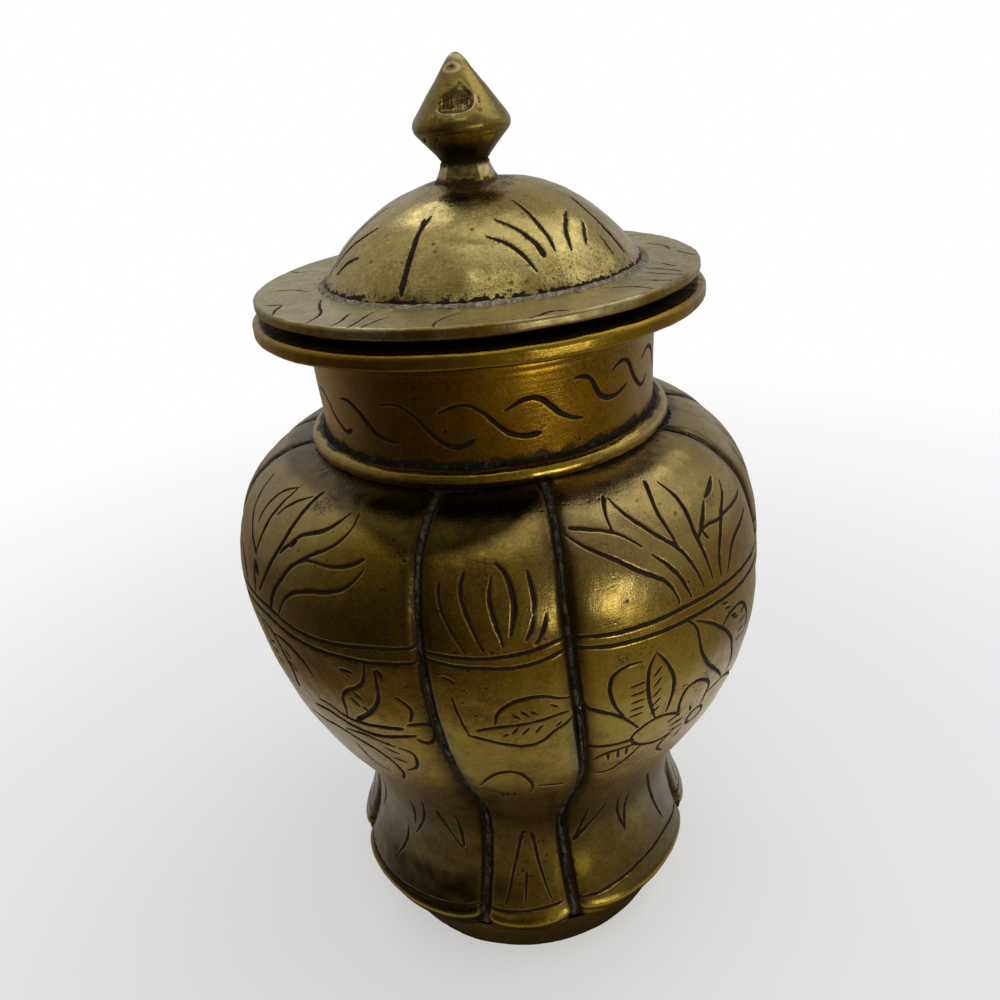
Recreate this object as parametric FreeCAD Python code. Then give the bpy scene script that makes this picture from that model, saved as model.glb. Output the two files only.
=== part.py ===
import FreeCAD, Part
import math
import os

# A lidded jar of aged brass, in millimetres.
# Eight lobed panels, four narrow and four wide, are soldered edge to edge into one belly, waist
# and flared foot. A plain ring carries the foot, a neck tube with a bead and a flat flange makes
# the mouth, and a domed lid with a pointed finial is located in the mouth by a collar.
# Origin: middle of the face that the jar stands on. +Z is up, and -Y is the front narrow panel.

# Heights of the jar's stages, each measured from the top of the one below
base_ring_height = 14.8
foot_height = 25.2
lower_belly_height = 66.0
shoulder_rise = 33.0
neck_height = 27.5

# Outer radii of the jar
foot_rim_radius = 48.4
waist_radius = 43.2
belly_radius = 65.5
neck_foot_radius = 39.2
neck_flare = 1.0

# Panels
panel_wall = 1.6
seam_depth = 2.8
shoulder_seam_depth = 0.6
narrow_panel_set_back = 0.5
narrow_panel_angle = 27.5
seam_width = 1.5
solder_sink = 0.3

# Base ring and the plate that closes the jar's bottom
foot_rim_overhang = 2.8
base_ring_taper = 5.7
base_ring_wall = 3.2
base_plate_thickness = 1.6
base_plate_recess = 2.4
base_plate_inset = 2.3
base_solder_leg = 1.6

# Neck, bead and mouth
neck_wall = 2.0
neck_tuck = 4.0
neck_seat_gap = 0.1
bead_half_height = 2.1
bead_stand = 3.6
bead_lift = 1.5
bead_upper_solder_leg = 1.4
bead_lower_solder_leg = 2.5
mouth_flange_overhang = 11.0
mouth_flange_thickness = 3.5
mouth_solder_leg = 1.2

# Lid
seat_ring_thickness = 2.2
seat_ring_overhang = 2.8
seat_ring_clearance = 0.4
lid_flange_overhang = 9.8
lid_flange_ledge = 5.0
lid_flange_thickness = 2.5
lid_collar_depth = 11.0
lid_collar_wall = 1.5
lid_collar_clearance = 0.7
collar_solder_leg = 1.0
dome_inset = 4.2
dome_rise = 19.6
dome_offset = 1.6
dome_wall = 1.4
dome_groove_depth = 0.6
dome_groove_width = 2.2
dome_solder_leg = 1.5

# Finial, a pointed bud on a faceted stem
finial_height = 24.7
finial_bud_radius = 10.6
finial_stem_height = 3.4
finial_stem_radius = 5.4
finial_foot_radius = 7.8
finial_tip_radius = 0.9
finial_hollow_radius = 5.5
finial_hollow_depth = 1.5
finial_hollow_height = 17.6
tang_radius = 2.5
tang_hole_clearance = 0.1
tang_head_radius = 3.9
tang_head_height = 1.2
washer_radius = 6.5
washer_thickness = 1.2
washer_seat_gap = 0.1

# Small sizes that several pieces share
edge_round = 0.7
shoulder_seat_gap = 0.05
solder_seat_gap = 0.02
cut_overrun = 5.0

# Points between two ends of the outline: the share of the step in radius and in height
foot_shares = ((0.07, 0.13), (0.35, 0.31), (0.78, 0.60))
lower_belly_shares = ((0.19, 0.227), (0.583, 0.455), (0.848, 0.682), (0.973, 0.864))
shoulder_shares = ((0.06, 0.424), (0.24, 0.727), (0.42, 0.867), (0.66, 0.965))
# Places across a panel, from one edge to the other, and how far the lobe has risen there
lobe_place_shares = (0.0, 0.07, 0.25, 0.5, 0.75, 0.93, 1.0)
lobe_rise_shares = (0.0, 0.62, 0.93, 1.0, 0.93, 0.62, 0.0)
# Radius of the bud, in even steps of height from the stem to the tip
bud_radius_shares = (0.66, 0.86, 1.0, 0.9, 0.73, 0.54, 0.31)
finial_section_points = 16
bud_square_share = 0.035
stem_square_share = 0.11
# Radius at which the dome's grooves end, as a share of the radius of the dome's foot
dome_groove_end_share = 0.583
# The lower solder's two ends, as shares of the bead's half height: how far its head lies below the
# bead's middle, and its toe below the shoulder's top
solder_head_share = 0.25
solder_toe_share = 0.12

axis_base = FreeCAD.Vector(0, 0, 0)
up = FreeCAD.Vector(0, 0, 1)
quadrants = 4
full_turn = 360.0

waist_height = base_ring_height + foot_height
belly_height = waist_height + lower_belly_height
shoulder_height = belly_height + shoulder_rise
neck_top_height = shoulder_height + neck_height
bead_middle_height = shoulder_height + bead_lift
base_ring_top_radius = foot_rim_radius - foot_rim_overhang
base_ring_foot_radius = base_ring_top_radius - base_ring_taper
base_plate_radius = base_ring_foot_radius - base_plate_inset
neck_top_radius = neck_foot_radius + neck_flare
bead_crown_radius = neck_foot_radius + bead_stand - bead_half_height
mouth_flange_radius = neck_top_radius + mouth_flange_overhang
seat_ring_radius = neck_top_radius + seat_ring_overhang
lid_flange_radius = neck_top_radius + lid_flange_overhang
dome_foot_radius = neck_top_radius - dome_inset
lid_flange_bore_radius = dome_foot_radius - lid_flange_ledge
mouth_height = neck_top_height + mouth_flange_thickness
lid_underside_height = mouth_height + seat_ring_thickness
lid_top_height = lid_underside_height + lid_flange_thickness
dome_radius = (dome_foot_radius ** 2 + dome_rise ** 2) / (2 * dome_rise)
dome_centre_height = lid_top_height + dome_rise - dome_radius
neck_slope = neck_flare / neck_height
neck_bore_top_radius = neck_top_radius - neck_wall
lid_collar_radius = neck_bore_top_radius - lid_collar_clearance
shoulder_top_radius = neck_foot_radius + neck_seat_gap
wide_panel_angle = full_turn / quadrants - narrow_panel_angle
seam_angle = math.degrees(seam_width / belly_radius)

nodes = {}


def neck_radius(height):
    """Outer radius of the neck tube at a height."""
    return neck_foot_radius + (height - shoulder_height) * neck_slope


def at(radius, height, azimuth=0.0):
    """Point at a radius, a height and an azimuth in degrees from the front, positive to the right."""
    turn = math.radians(azimuth)
    return FreeCAD.Vector(radius * math.sin(turn), -radius * math.cos(turn), height)


def revolved(points):
    """Solid of revolution of a closed outline of (radius, height) points."""
    corners = [at(radius, height) for radius, height in points]
    outline = Part.makePolygon(corners + corners[:1])
    return Part.Face(outline).revolve(axis_base, up, full_turn)


def rounded(shape, radius, height, size):
    """Shape with its circular edge at a radius and height rounded."""
    edges = [
        edge for edge in shape.Edges
        if isinstance(edge.Curve, Part.Circle)
        and math.isclose(edge.Curve.Radius, radius, rel_tol=1e-6)
        and math.isclose(edge.Curve.Center.z, height, rel_tol=1e-6)
    ]
    return shape.makeFillet(size, edges)


def fillet_ring(corner_radius, corner_height, leg, outward, upward):
    """Ring of solder that fills a corner, with a triangle for its section."""
    return revolved([
        (corner_radius, corner_height),
        (corner_radius + leg * outward, corner_height),
        (corner_radius, corner_height + leg * upward),
    ])


def stretch(start, end, shares):
    """Start of a stretch of outline, then its points between start and end."""
    points = [start]
    for radius_share, height_share in shares:
        radius = start[0] + (end[0] - start[0]) * radius_share
        height = start[1] + (end[1] - start[1]) * height_share
        points.append((radius, height))
    return points


def crest_outline():
    """Outline of a lobe's crest, from the foot's rim up to the neck."""
    rim = (foot_rim_radius, base_ring_height)
    waist = (waist_radius, waist_height)
    belly = (belly_radius, belly_height)
    top = (shoulder_top_radius, shoulder_height)
    points = stretch(rim, waist, foot_shares)
    points += stretch(waist, belly, lower_belly_shares)
    points += stretch(belly, top, shoulder_shares)
    return points + [top]


def depth_at(height):
    """Depth of the seam below the crest: full up to the belly, then fading to the neck."""
    fade = max(0.0, (height - belly_height) / (shoulder_height - belly_height))
    return seam_depth + (shoulder_seam_depth - seam_depth) * fade ** 2


def inward(points, distances):
    """Outline moved inwards, square to itself. Its foot stays level and its top end upright."""
    moved = []
    last = len(points) - 1
    for index, (radius, height) in enumerate(points):
        before = points[max(index - 1, 0)]
        after = points[min(index + 1, last)]
        along = (after[0] - before[0], after[1] - before[1])
        if index == 0:
            along = (0.0, 1.0)
        if index == last:
            along = (-1.0, 0.0)
        length = math.hypot(*along)
        step = distances[index] / length
        moved.append((radius - along[1] * step, height + along[0] * step))
    return moved


def panel_section(azimuth, sunk_share, extra_depth=0.0):
    """Closed section of the wall at an azimuth, sunk from the crest by a share of the seam's depth."""
    crest = crest_outline()
    outer_depth = [depth_at(height) * sunk_share + extra_depth for _, height in crest]
    inner_depth = [depth_at(height) * sunk_share + panel_wall for _, height in crest]
    outer = [at(*point, azimuth) for point in inward(crest, outer_depth)]
    inner = [at(*point, azimuth) for point in inward(crest, inner_depth)]
    outer_curve = Part.BSplineCurve()
    outer_curve.interpolate(outer)
    inner_curve = Part.BSplineCurve()
    inner_curve.interpolate(inner[::-1])
    return Part.Wire([
        outer_curve.toShape(),
        Part.makeLine(outer[-1], inner[-1]),
        inner_curve.toShape(),
        Part.makeLine(inner[0], outer[0]),
    ])


def panel(middle_azimuth, angle, set_back):
    """One lobed panel, from the foot's rim over the belly to the neck."""
    width = angle - seam_angle
    start = middle_azimuth - width / 2
    set_back_share = set_back / seam_depth
    sections = []
    for place, rise in zip(lobe_place_shares, lobe_rise_shares):
        sunk_share = 1 - rise * (1 - set_back_share)
        sections.append(panel_section(start + width * place, sunk_share))
    return Part.makeLoft(sections, True, False)


def seam_strip(azimuth):
    """Solder in the seam between two panels, a little below their edges."""
    section = panel_section(azimuth - seam_angle / 2, 1.0, solder_sink)
    return Part.Face(section).revolve(axis_base, up, seam_angle)


def crest_body():
    """Solid just outside the lobes' crests, for trimming what sits on the shoulder."""
    crest = crest_outline()
    skin = [at(*point) for point in inward(crest, [-shoulder_seat_gap] * len(crest))]
    skin_curve = Part.BSplineCurve()
    skin_curve.interpolate(skin)
    axis_top = FreeCAD.Vector(0, 0, skin[-1].z)
    axis_foot = FreeCAD.Vector(0, 0, skin[0].z)
    outline = Part.Wire([
        skin_curve.toShape(),
        Part.makeLine(skin[-1], axis_top),
        Part.makeLine(axis_top, axis_foot),
        Part.makeLine(axis_foot, skin[0]),
    ])
    return Part.Face(outline).revolve(axis_base, up, full_turn)


def base_ring():
    """Flared plain ring under the foot, with a rebate for the base plate."""
    rebate_radius = base_plate_radius + solder_seat_gap
    rebate_height = base_plate_recess + base_plate_thickness
    inner_top_radius = base_ring_top_radius - base_ring_wall
    inner_foot_radius = base_ring_foot_radius - base_ring_wall
    ring = revolved([
        (inner_foot_radius, 0.0),
        (base_ring_foot_radius, 0.0),
        (base_ring_top_radius, base_ring_height),
        (inner_top_radius, base_ring_height),
        (rebate_radius, rebate_height),
        (rebate_radius, base_plate_recess),
        (inner_foot_radius, base_plate_recess),
    ])
    return rounded(ring, base_ring_foot_radius, 0.0, edge_round)


def base_plate():
    """Disc that closes the jar's bottom."""
    return Part.makeCylinder(base_plate_radius, base_plate_thickness, FreeCAD.Vector(0, 0, base_plate_recess))


def base_solder():
    """Solder round the top of the base plate, against the ring's wall."""
    top = base_plate_recess + base_plate_thickness
    return fillet_ring(base_plate_radius, top, base_solder_leg, -1, 1)


def neck_tube():
    """Neck tube, tucked a little way down inside the shoulder."""
    foot = shoulder_height - neck_tuck
    outer_foot = neck_radius(foot)
    return revolved([
        (outer_foot - neck_wall, foot),
        (outer_foot, foot),
        (neck_top_radius, neck_top_height),
        (neck_bore_top_radius, neck_top_height),
    ])


def neck_bead():
    """Half-round ring at the foot of the neck."""
    ring = Part.makeTorus(bead_crown_radius, bead_half_height, FreeCAD.Vector(0, 0, bead_middle_height))
    height = 2 * (bead_half_height + cut_overrun)
    low = bead_middle_height - height / 2
    neck = Part.makeCone(
        neck_radius(low) + neck_seat_gap,
        neck_radius(low + height) + neck_seat_gap,
        height,
        FreeCAD.Vector(0, 0, low),
    )
    return ring.cut(neck).cut(crest_body())


def bead_solder_upper():
    """Solder on the bead's crown, against the neck."""
    height = bead_middle_height + bead_half_height + solder_seat_gap
    widest = max(neck_radius(height), neck_radius(height + bead_upper_solder_leg))
    return fillet_ring(widest + solder_seat_gap, height, bead_upper_solder_leg, 1, 1)


def bead_solder_lower():
    """Solder on the shoulder, against the lower side of the bead."""
    drop = bead_half_height * solder_head_share
    radius = bead_crown_radius + math.sqrt(bead_half_height ** 2 - drop ** 2) + solder_seat_gap
    toe_radius = radius + bead_lower_solder_leg
    buried_height = shoulder_height - bead_half_height
    ring = revolved([
        (radius, bead_middle_height - drop),
        (toe_radius, shoulder_height - bead_half_height * solder_toe_share),
        (toe_radius, buried_height),
        (radius, buried_height),
    ])
    return ring.cut(crest_body())


def mouth_flange():
    """Flat flange round the mouth."""
    ring = revolved([
        (neck_bore_top_radius, neck_top_height),
        (mouth_flange_radius, neck_top_height),
        (mouth_flange_radius, mouth_height),
        (neck_bore_top_radius, mouth_height),
    ])
    ring = rounded(ring, mouth_flange_radius, neck_top_height, edge_round)
    return rounded(ring, mouth_flange_radius, mouth_height, edge_round)


def mouth_solder():
    """Solder in the corner under the mouth flange."""
    widest = max(neck_top_radius, neck_radius(neck_top_height - mouth_solder_leg))
    return fillet_ring(widest + solder_seat_gap, neck_top_height, mouth_solder_leg, 1, -1)


def lid_seat_ring():
    """Loose ring round the lid's collar, which sets the gap between lid and mouth."""
    bore = lid_collar_radius + seat_ring_clearance
    return revolved([
        (bore, mouth_height),
        (seat_ring_radius, mouth_height),
        (seat_ring_radius, lid_underside_height),
        (bore, lid_underside_height),
    ])


def lid_flange():
    """Flat flange of the lid."""
    ring = revolved([
        (lid_flange_bore_radius, lid_underside_height),
        (lid_flange_radius, lid_underside_height),
        (lid_flange_radius, lid_top_height),
        (lid_flange_bore_radius, lid_top_height),
    ])
    ring = rounded(ring, lid_flange_radius, lid_underside_height, edge_round)
    return rounded(ring, lid_flange_radius, lid_top_height, edge_round)


def lid_collar():
    """Tube under the lid that locates it in the mouth."""
    inner = lid_collar_radius - lid_collar_wall
    return revolved([
        (inner, lid_underside_height - lid_collar_depth),
        (lid_collar_radius, lid_underside_height - lid_collar_depth),
        (lid_collar_radius, lid_underside_height),
        (inner, lid_underside_height),
    ])


def collar_solder():
    """Solder inside the collar, in the corner under the flange."""
    inner = lid_collar_radius - lid_collar_wall
    return fillet_ring(inner - solder_seat_gap, lid_underside_height, collar_solder_leg, -1, -1)


def dome_ball(radius):
    """Ball that the dome's skin is cut from. It sits a little to the right of the jar's axis."""
    return Part.makeSphere(radius, FreeCAD.Vector(dome_offset, 0, dome_centre_height))


def dome_groove(azimuth):
    """Tool for a V groove that runs from the dome's foot most of the way up."""
    turn = math.radians(azimuth)
    out = FreeCAD.Vector(math.sin(turn), -math.cos(turn), 0)
    across = up.cross(out)
    centre = FreeCAD.Vector(dome_offset, 0, dome_centre_height)
    climb = math.degrees(math.acos(dome_foot_radius * dome_groove_end_share / dome_radius))
    half_width = dome_groove_width / 2 * (1 + edge_round / dome_groove_depth)
    low = centre + out * (dome_radius - dome_groove_depth)
    high = centre + out * (dome_radius + edge_round)
    triangle = Part.makePolygon([low, high + across * half_width, high - across * half_width, low])
    return Part.Face(triangle).revolve(centre, out.cross(up), climb)


def lid_dome():
    """Domed skin of the lid, with four grooves and a hole for the finial's tang."""
    shell = dome_ball(dome_radius).cut(dome_ball(dome_radius - dome_wall))
    size = 2 * (dome_radius + cut_overrun)
    below = Part.makeBox(size, size, size, FreeCAD.Vector(-size / 2, -size / 2, lid_top_height - size))
    shell = shell.cut(below)
    first_seam = -narrow_panel_angle
    for quadrant in range(quadrants):
        shell = shell.cut(dome_groove(first_seam + full_turn / quadrants * quadrant))
    hole_radius = tang_radius + tang_hole_clearance
    hole = Part.makeCylinder(hole_radius, size, FreeCAD.Vector(0, 0, lid_top_height))
    return shell.cut(hole)


def dome_solder():
    """Solder round the dome's foot, on the flange."""
    ring = fillet_ring(dome_foot_radius, lid_top_height, dome_solder_leg, 1, 1)
    ring.translate(FreeCAD.Vector(dome_offset, 0, 0))
    return ring.cut(dome_ball(dome_radius + solder_seat_gap))


def finial_section(radius, height, square_share):
    """Closed curve between a circle and a square, with its flat side to the front."""
    points = []
    for index in range(finial_section_points):
        azimuth = full_turn * index / finial_section_points
        swell = 1 - square_share * math.cos(math.radians(quadrants * azimuth))
        points.append(at(radius * swell, height, azimuth))
    curve = Part.BSplineCurve()
    curve.interpolate(points, PeriodicFlag=True)
    return Part.Wire([curve.toShape()])


def finial():
    """Bud, stem and tang in one casting, with the tang's end hammered over inside the dome."""
    dome_top = dome_centre_height + dome_radius
    foot = dome_top - dome_wall / 2
    stem_level = dome_top + finial_stem_height
    tip_level = dome_top + finial_height
    stem_middle_radius = (finial_foot_radius + finial_stem_radius) / 2
    stem = Part.makeLoft([
        finial_section(finial_foot_radius, foot, stem_square_share),
        finial_section(stem_middle_radius, (foot + stem_level) / 2, stem_square_share),
        finial_section(finial_stem_radius, stem_level, stem_square_share),
    ], True, False)
    radii = [finial_bud_radius * share for share in bud_radius_shares]
    radii = [finial_stem_radius, *radii, finial_tip_radius]
    step = (tip_level - stem_level) / (len(radii) - 1)
    sections = [
        finial_section(radius, stem_level + step * index, bud_square_share)
        for index, radius in enumerate(radii)
    ]
    bud = Part.makeLoft(sections, True, False, False, 3)
    hollow_level = dome_top + finial_hollow_height
    steps_up = (hollow_level - stem_level) / step
    skin_radius = radii[int(steps_up)] + (radii[int(steps_up) + 1] - radii[int(steps_up)]) * (steps_up % 1)
    hollow_reach = skin_radius + finial_hollow_radius - finial_hollow_depth
    hollow = Part.makeSphere(finial_hollow_radius, at(hollow_reach, hollow_level))
    top = stem.fuse(bud).cut(hollow).cut(dome_ball(dome_radius))
    tang_low = washer_height() - tang_head_height
    tang = Part.makeCylinder(tang_radius, stem_level - tang_low, FreeCAD.Vector(0, 0, tang_low))
    head = Part.makeCylinder(tang_head_radius, tang_head_height, FreeCAD.Vector(0, 0, tang_low))
    return top.fuse(tang).fuse(head)


def washer_height():
    """Underside of the washer, which seats by its rim against the inside of the dome."""
    inner_radius = dome_radius - dome_wall
    seat = dome_centre_height + math.sqrt(inner_radius ** 2 - (washer_radius + dome_offset) ** 2)
    return seat - washer_seat_gap - washer_thickness


def finial_washer():
    """Washer that spreads the hold of the tang."""
    low = FreeCAD.Vector(0, 0, washer_height())
    disc = Part.makeCylinder(washer_radius, washer_thickness, low)
    return disc.cut(Part.makeCylinder(tang_radius + tang_hole_clearance, washer_thickness, low))


# The eight panels and the eight seams between them, from the front round by the right side
side_names = ("front", "right", "back", "left")
for quadrant, side in enumerate(side_names):
    next_side = side_names[(quadrant + 1) % quadrants]
    corner = f"{side}_{next_side}"
    middle = full_turn / quadrants * quadrant
    nodes[f"panel_{side}"] = panel(middle, narrow_panel_angle, narrow_panel_set_back)
    nodes[f"panel_{corner}"] = panel(middle + full_turn / quadrants / 2, wide_panel_angle, 0.0)
    nodes[f"seam_solder_{corner}_1"] = seam_strip(middle + narrow_panel_angle / 2)
    nodes[f"seam_solder_{corner}_2"] = seam_strip(middle + full_turn / quadrants - narrow_panel_angle / 2)

nodes["base_ring"] = base_ring()
nodes["base_plate"] = base_plate()
nodes["base_solder"] = base_solder()
nodes["neck_tube"] = neck_tube()
nodes["neck_bead"] = neck_bead()
nodes["bead_solder_upper"] = bead_solder_upper()
nodes["bead_solder_lower"] = bead_solder_lower()
nodes["mouth_flange"] = mouth_flange()
nodes["mouth_solder"] = mouth_solder()
nodes["lid_seat_ring"] = lid_seat_ring()
nodes["lid_flange"] = lid_flange()
nodes["lid_collar"] = lid_collar()
nodes["collar_solder"] = collar_solder()
nodes["lid_dome"] = lid_dome()
nodes["dome_solder"] = dome_solder()
nodes["finial"] = finial()
nodes["finial_washer"] = finial_washer()

os.makedirs("parts", exist_ok=True)
for name, shape in nodes.items():
    shape.exportStep(f"parts/{name}.step")
    print(name, len(shape.Solids), shape.isValid(), round(shape.Volume, 1))
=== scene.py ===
import math

import bpy
import numpy as np
from mathutils import Matrix, Vector


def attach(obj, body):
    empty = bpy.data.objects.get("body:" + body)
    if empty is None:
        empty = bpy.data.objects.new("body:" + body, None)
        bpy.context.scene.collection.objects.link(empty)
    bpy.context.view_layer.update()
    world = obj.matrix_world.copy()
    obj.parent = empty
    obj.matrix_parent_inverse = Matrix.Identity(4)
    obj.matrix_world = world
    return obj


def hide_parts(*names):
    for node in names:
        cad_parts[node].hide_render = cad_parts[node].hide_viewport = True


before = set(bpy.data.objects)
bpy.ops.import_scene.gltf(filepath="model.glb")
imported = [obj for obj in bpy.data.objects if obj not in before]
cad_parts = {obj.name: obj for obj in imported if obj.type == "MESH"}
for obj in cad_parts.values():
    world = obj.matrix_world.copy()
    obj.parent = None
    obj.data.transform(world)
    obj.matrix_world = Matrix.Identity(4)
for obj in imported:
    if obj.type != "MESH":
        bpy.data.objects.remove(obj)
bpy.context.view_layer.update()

# Sizes in this script are in millimetres and angles in degrees, and a mesh is brought to metres when
# it is made. Azimuth 0 is the front (-Y), and it grows to the right (+X).
MM = 0.001

# Crest line of the lobed panels, as (radius, height) from the foot's rim to the neck
crest_points = (
    (48.4, 14.8), (48.0, 18.1), (46.6, 22.6), (44.3, 29.9), (43.2, 40.0), (47.4, 55.0), (56.2, 70.0),
    (62.1, 85.0), (64.9, 97.0), (65.5, 106.0), (63.9, 120.0), (59.2, 130.0), (54.5, 134.6),
    (48.2, 137.8), (39.3, 139.0),
)
seam_depth = 2.8
shoulder_seam_depth = 0.9
belly_height = 106.0
shoulder_height = 139.0
narrow_set_back = 0.5
panel_wall = 1.6
rim_round = 1.3
skin_ease = 0.35

# Where each seam runs: (length along the crest line from the foot's rim, azimuth)
seam_lines = {
    "front_right_1": ((0, 15.8), (20, 14.2), (33, 12.8), (46, 14.0), (57, 14.8), (75, 14.0), (100, 13.0),
                      (113, 13.3), (124, 14.2), (144.5, 15.4)),
    "front_right_2": ((0, 76.0), (60, 76.0), (100, 74.0), (117, 72.0), (128, 69.5), (144.5, 67.5)),
    "right_back_1": ((0, 104.0), (60, 104.4), (100, 102.5), (126, 99.5), (144.5, 99.0)),
    "right_back_2": ((0, 166.5), (40, 165.2), (80, 166.8), (120, 165.5), (144.5, 166.6)),
    "back_left_1": ((0, 193.2), (50, 194.6), (90, 193.4), (144.5, 194.4)),
    "back_left_2": ((0, 256.6), (50, 255.6), (95, 256.8), (144.5, 255.2)),
    "left_front_1": ((0, 284.0), (60, 283.5), (100, 281.5), (130, 278.5), (144.5, 277.0)),
    "left_front_2": ((0, 346.0), (28, 346.7), (40, 347.0), (62, 345.9), (90, 345.3), (116, 346.1),
                     (144.5, 346.5)),
}
# Half the width of the solder in a seam: (length along the crest line, half width)
seam_half_widths = ((0, 1.25), (12, 1.2), (30, 0.9), (50, 0.78), (90, 0.7), (130, 0.6), (144.5, 0.75))
# How far the hand-raised body leans to the right: (height, shift)
lean_points = ((0, -1.1), (15, -1.1), (28, -0.6), (42, 0.1), (60, 0.9), (75, 1.2), (92, 0.6), (106, 0.0),
               (120, -0.7), (132, -1.0), (137, -0.5), (139, 0.0), (220, 0.0))


def ticks(width, *marks):
    """Short plain cuts of one width, each given by its two ends."""
    return tuple(("lens", width, mark) for mark in marks)


def tick_row(width, start, end, rise, lengths):
    """Ticks one above the other, between two azimuths."""
    return ticks(width, *((start, length, end, length + rise) for length in lengths))


def moved(strokes, turn):
    """The same strokes further round the jar."""
    return tuple((kind, width, tuple(v + turn * (k % 2 == 0) for k, v in enumerate(flat)))
                 for kind, width, flat in strokes)


# Engraved strokes. Each is (kind of cut, width, points); a point is (azimuth, length along the skin).
front_strokes = (
    ("nail", 1.0, (-9.3, 119, -9.3, 115, -8.5, 112, -7.2, 108.6, -5.6, 104.9)),
    ("nail", 1.4, (-4.6, 121, -5.4, 117.2, -5.2, 115.3, -4.2, 111.2, -3.2, 107.8, -2.4, 105.2)),
    ("lens", 1.1, (0.5, 120, -0.3, 116, -0.2, 113.8, 0.3, 110.6, 0.8, 108, 1.1, 105.8)),
    ("lens", 1.7, (1.4, 122.4, 2.6, 121.2, 3.6, 118.3, 4.0, 115, 3.7, 112.2, 3.1, 109.6, 2.6, 108)),
    ("lens", 1.2, (7.2, 120.4, 7.5, 117.2, 7.6, 114, 7.2, 112)),
    ("lens", 1.0, (7.2, 111.4, 6.5, 109, 5.1, 106.6)),
    ("lens", 1.1, (9.4, 111.4, 8.6, 108.6, 6.7, 105.6)), ("even", 0.7, (-10.6, 99.4, -8.5, 98.3)),
    ("lens", 1.2, (-2.6, 87, -2.2, 88.9, -1.5, 90.6, 0, 92.1, 2, 93.2, 4, 93.6, 6, 93.4, 8, 92.7,
                   10, 91.7, 11.8, 91)),
    ("even", 0.8, (-6.2, 85.2, -3, 86.1, 0, 86.4, 3, 86.7, 6, 87.1, 9, 87.6, 11, 87.6)),
    ("even", 0.9, (-8, 83.5, -5, 82.3, -2, 81, 0, 80.3, 2, 79.7, 4, 79.8, 6, 80.8, 8, 82.8, 10, 84.1,
                   12, 85.3)),
    ("even", 0.5, (-9.5, 94.5, -9, 90.4, -8.4, 86.3, -7.9, 83.8)),
    *ticks(0.6, (0.8, 89.6, 2.1, 88.2), (2.4, 90.3, 3.8, 88.6), (4.2, 90, 5.3, 88.8),
                (7.7, 90.8, 9.1, 89.8), (-1.6, 83.4, -0.5, 84), (0.2, 84.1, 1.5, 85.8),
                (2.1, 83.6, 3.5, 85.3), (4.5, 83.5, 6, 85.5), (8.4, 84.3, 9.5, 85.2)),
    ("lens", 1.3, (-9, 63.3, -8, 65, -6, 67.6, -4, 69.2, -2, 69.6, 0, 68.7, 1.5, 66.3, 2.3, 64.1,
                   2.5, 62.2, 2.1, 59)),
    ("even", 0.7, (3.8, 62.3, 6, 61.8, 9.6, 60.6)),
    *ticks(0.8, (-4.4, 59.4, -4.5, 56), (-3.2, 59.4, -3.4, 56.2), (-1.7, 59.4, -1.9, 56.2)),
    ("nail", 1.2, (-0.9, 30.6, -2, 26, -3.2, 21.5, -4.5, 17, -5.5, 13, -6.8, 9.4)),
    ("nail", 1.3, (2.2, 30.6, 3.2, 26, 4.2, 21.5, 5.2, 17.5, 6.5, 13.2, 7.9, 9.5)),
    ("lens", 0.7, (-1.3, 31.2, 0.5, 31.1)), ("nail", 0.8, (0.4, 17.6, -0.1, 15, -0.3, 12.5, -0.6, 9.5)),
    ("even", 0.9, (-12, 7.4, -8, 7.1, 0, 7.0, 5, 7.3, 11.5, 7.6)),
    ("even", 1.1, (-14.5, 104.5, -12, 104.4, -8, 104, -4, 103.6, 0, 103.6, 3, 103.8, 6, 104.3, 9, 105,
                   13.5, 105.6)),
    ("even", 1.1, (-14.5, 103, -12, 102.8, -8, 102, -4, 101.5, 0, 101.1, 3, 101, 6, 101.4, 9, 102.2,
                   13.5, 103.3)),
)
right_fan_strokes = (
    ("lens", 1.4, (15.9, 126, 19.9, 122, 23.8, 119, 26.6, 116.5, 29.5, 114, 32.7, 111.5, 34.5, 108.5,
                   35.2, 105.3)),
    ("nail", 1.2, (17, 127.1, 21.3, 125.9, 25.6, 124, 28.1, 122, 30.2, 119.7)),
    ("lens", 1.3, (31.8, 117.4, 34.1, 114.5, 36.3, 111, 38.4, 105.2)),
    ("nail", 1.1, (27.2, 132.5, 25.7, 129, 25.4, 126, 25.6, 124)),
    ("lens", 1.3, (27.9, 131.8, 29.1, 128, 31.3, 124.5, 34.9, 120, 37.7, 116.8, 39.5, 113.5, 40.9, 110,
                   41.9, 106)),
    ("nail", 1.5, (39.2, 132.2, 37.4, 127.5, 37, 123.5, 37.6, 119.5, 38.3, 115.5)),
    ("lens", 1.5, (42, 130.6, 43.3, 127, 43.9, 123, 43.4, 119, 43.6, 116, 44.3, 111, 44.7, 106.4)),
    ("lens", 1.6, (50.2, 121.8, 47.4, 119.3, 45.6, 117.5, 43.7, 115.8)),
    ("lens", 1.9, (57.8, 124.5, 54.9, 123.3, 51.2, 122.2)),
    ("lens", 1.5, (59.5, 122.5, 56.6, 119.5, 53.4, 117.3, 50.9, 114.5, 49.1, 112, 47.7, 108.5,
                   47.4, 105.6)),
    ("lens", 1.5, (63.6, 113.1, 59.9, 112, 56.3, 111.3, 53.4, 110, 51.3, 107.5, 49.8, 105.2)),
    ("even", 0.8, (64.9, 117, 57.7, 116.7, 54.1, 116.8, 50.6, 116.8, 47.7, 117.3, 45.6, 117)),
    ("lens", 0.9, (45.5, 116.8, 46.4, 114.7)),
)
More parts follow.
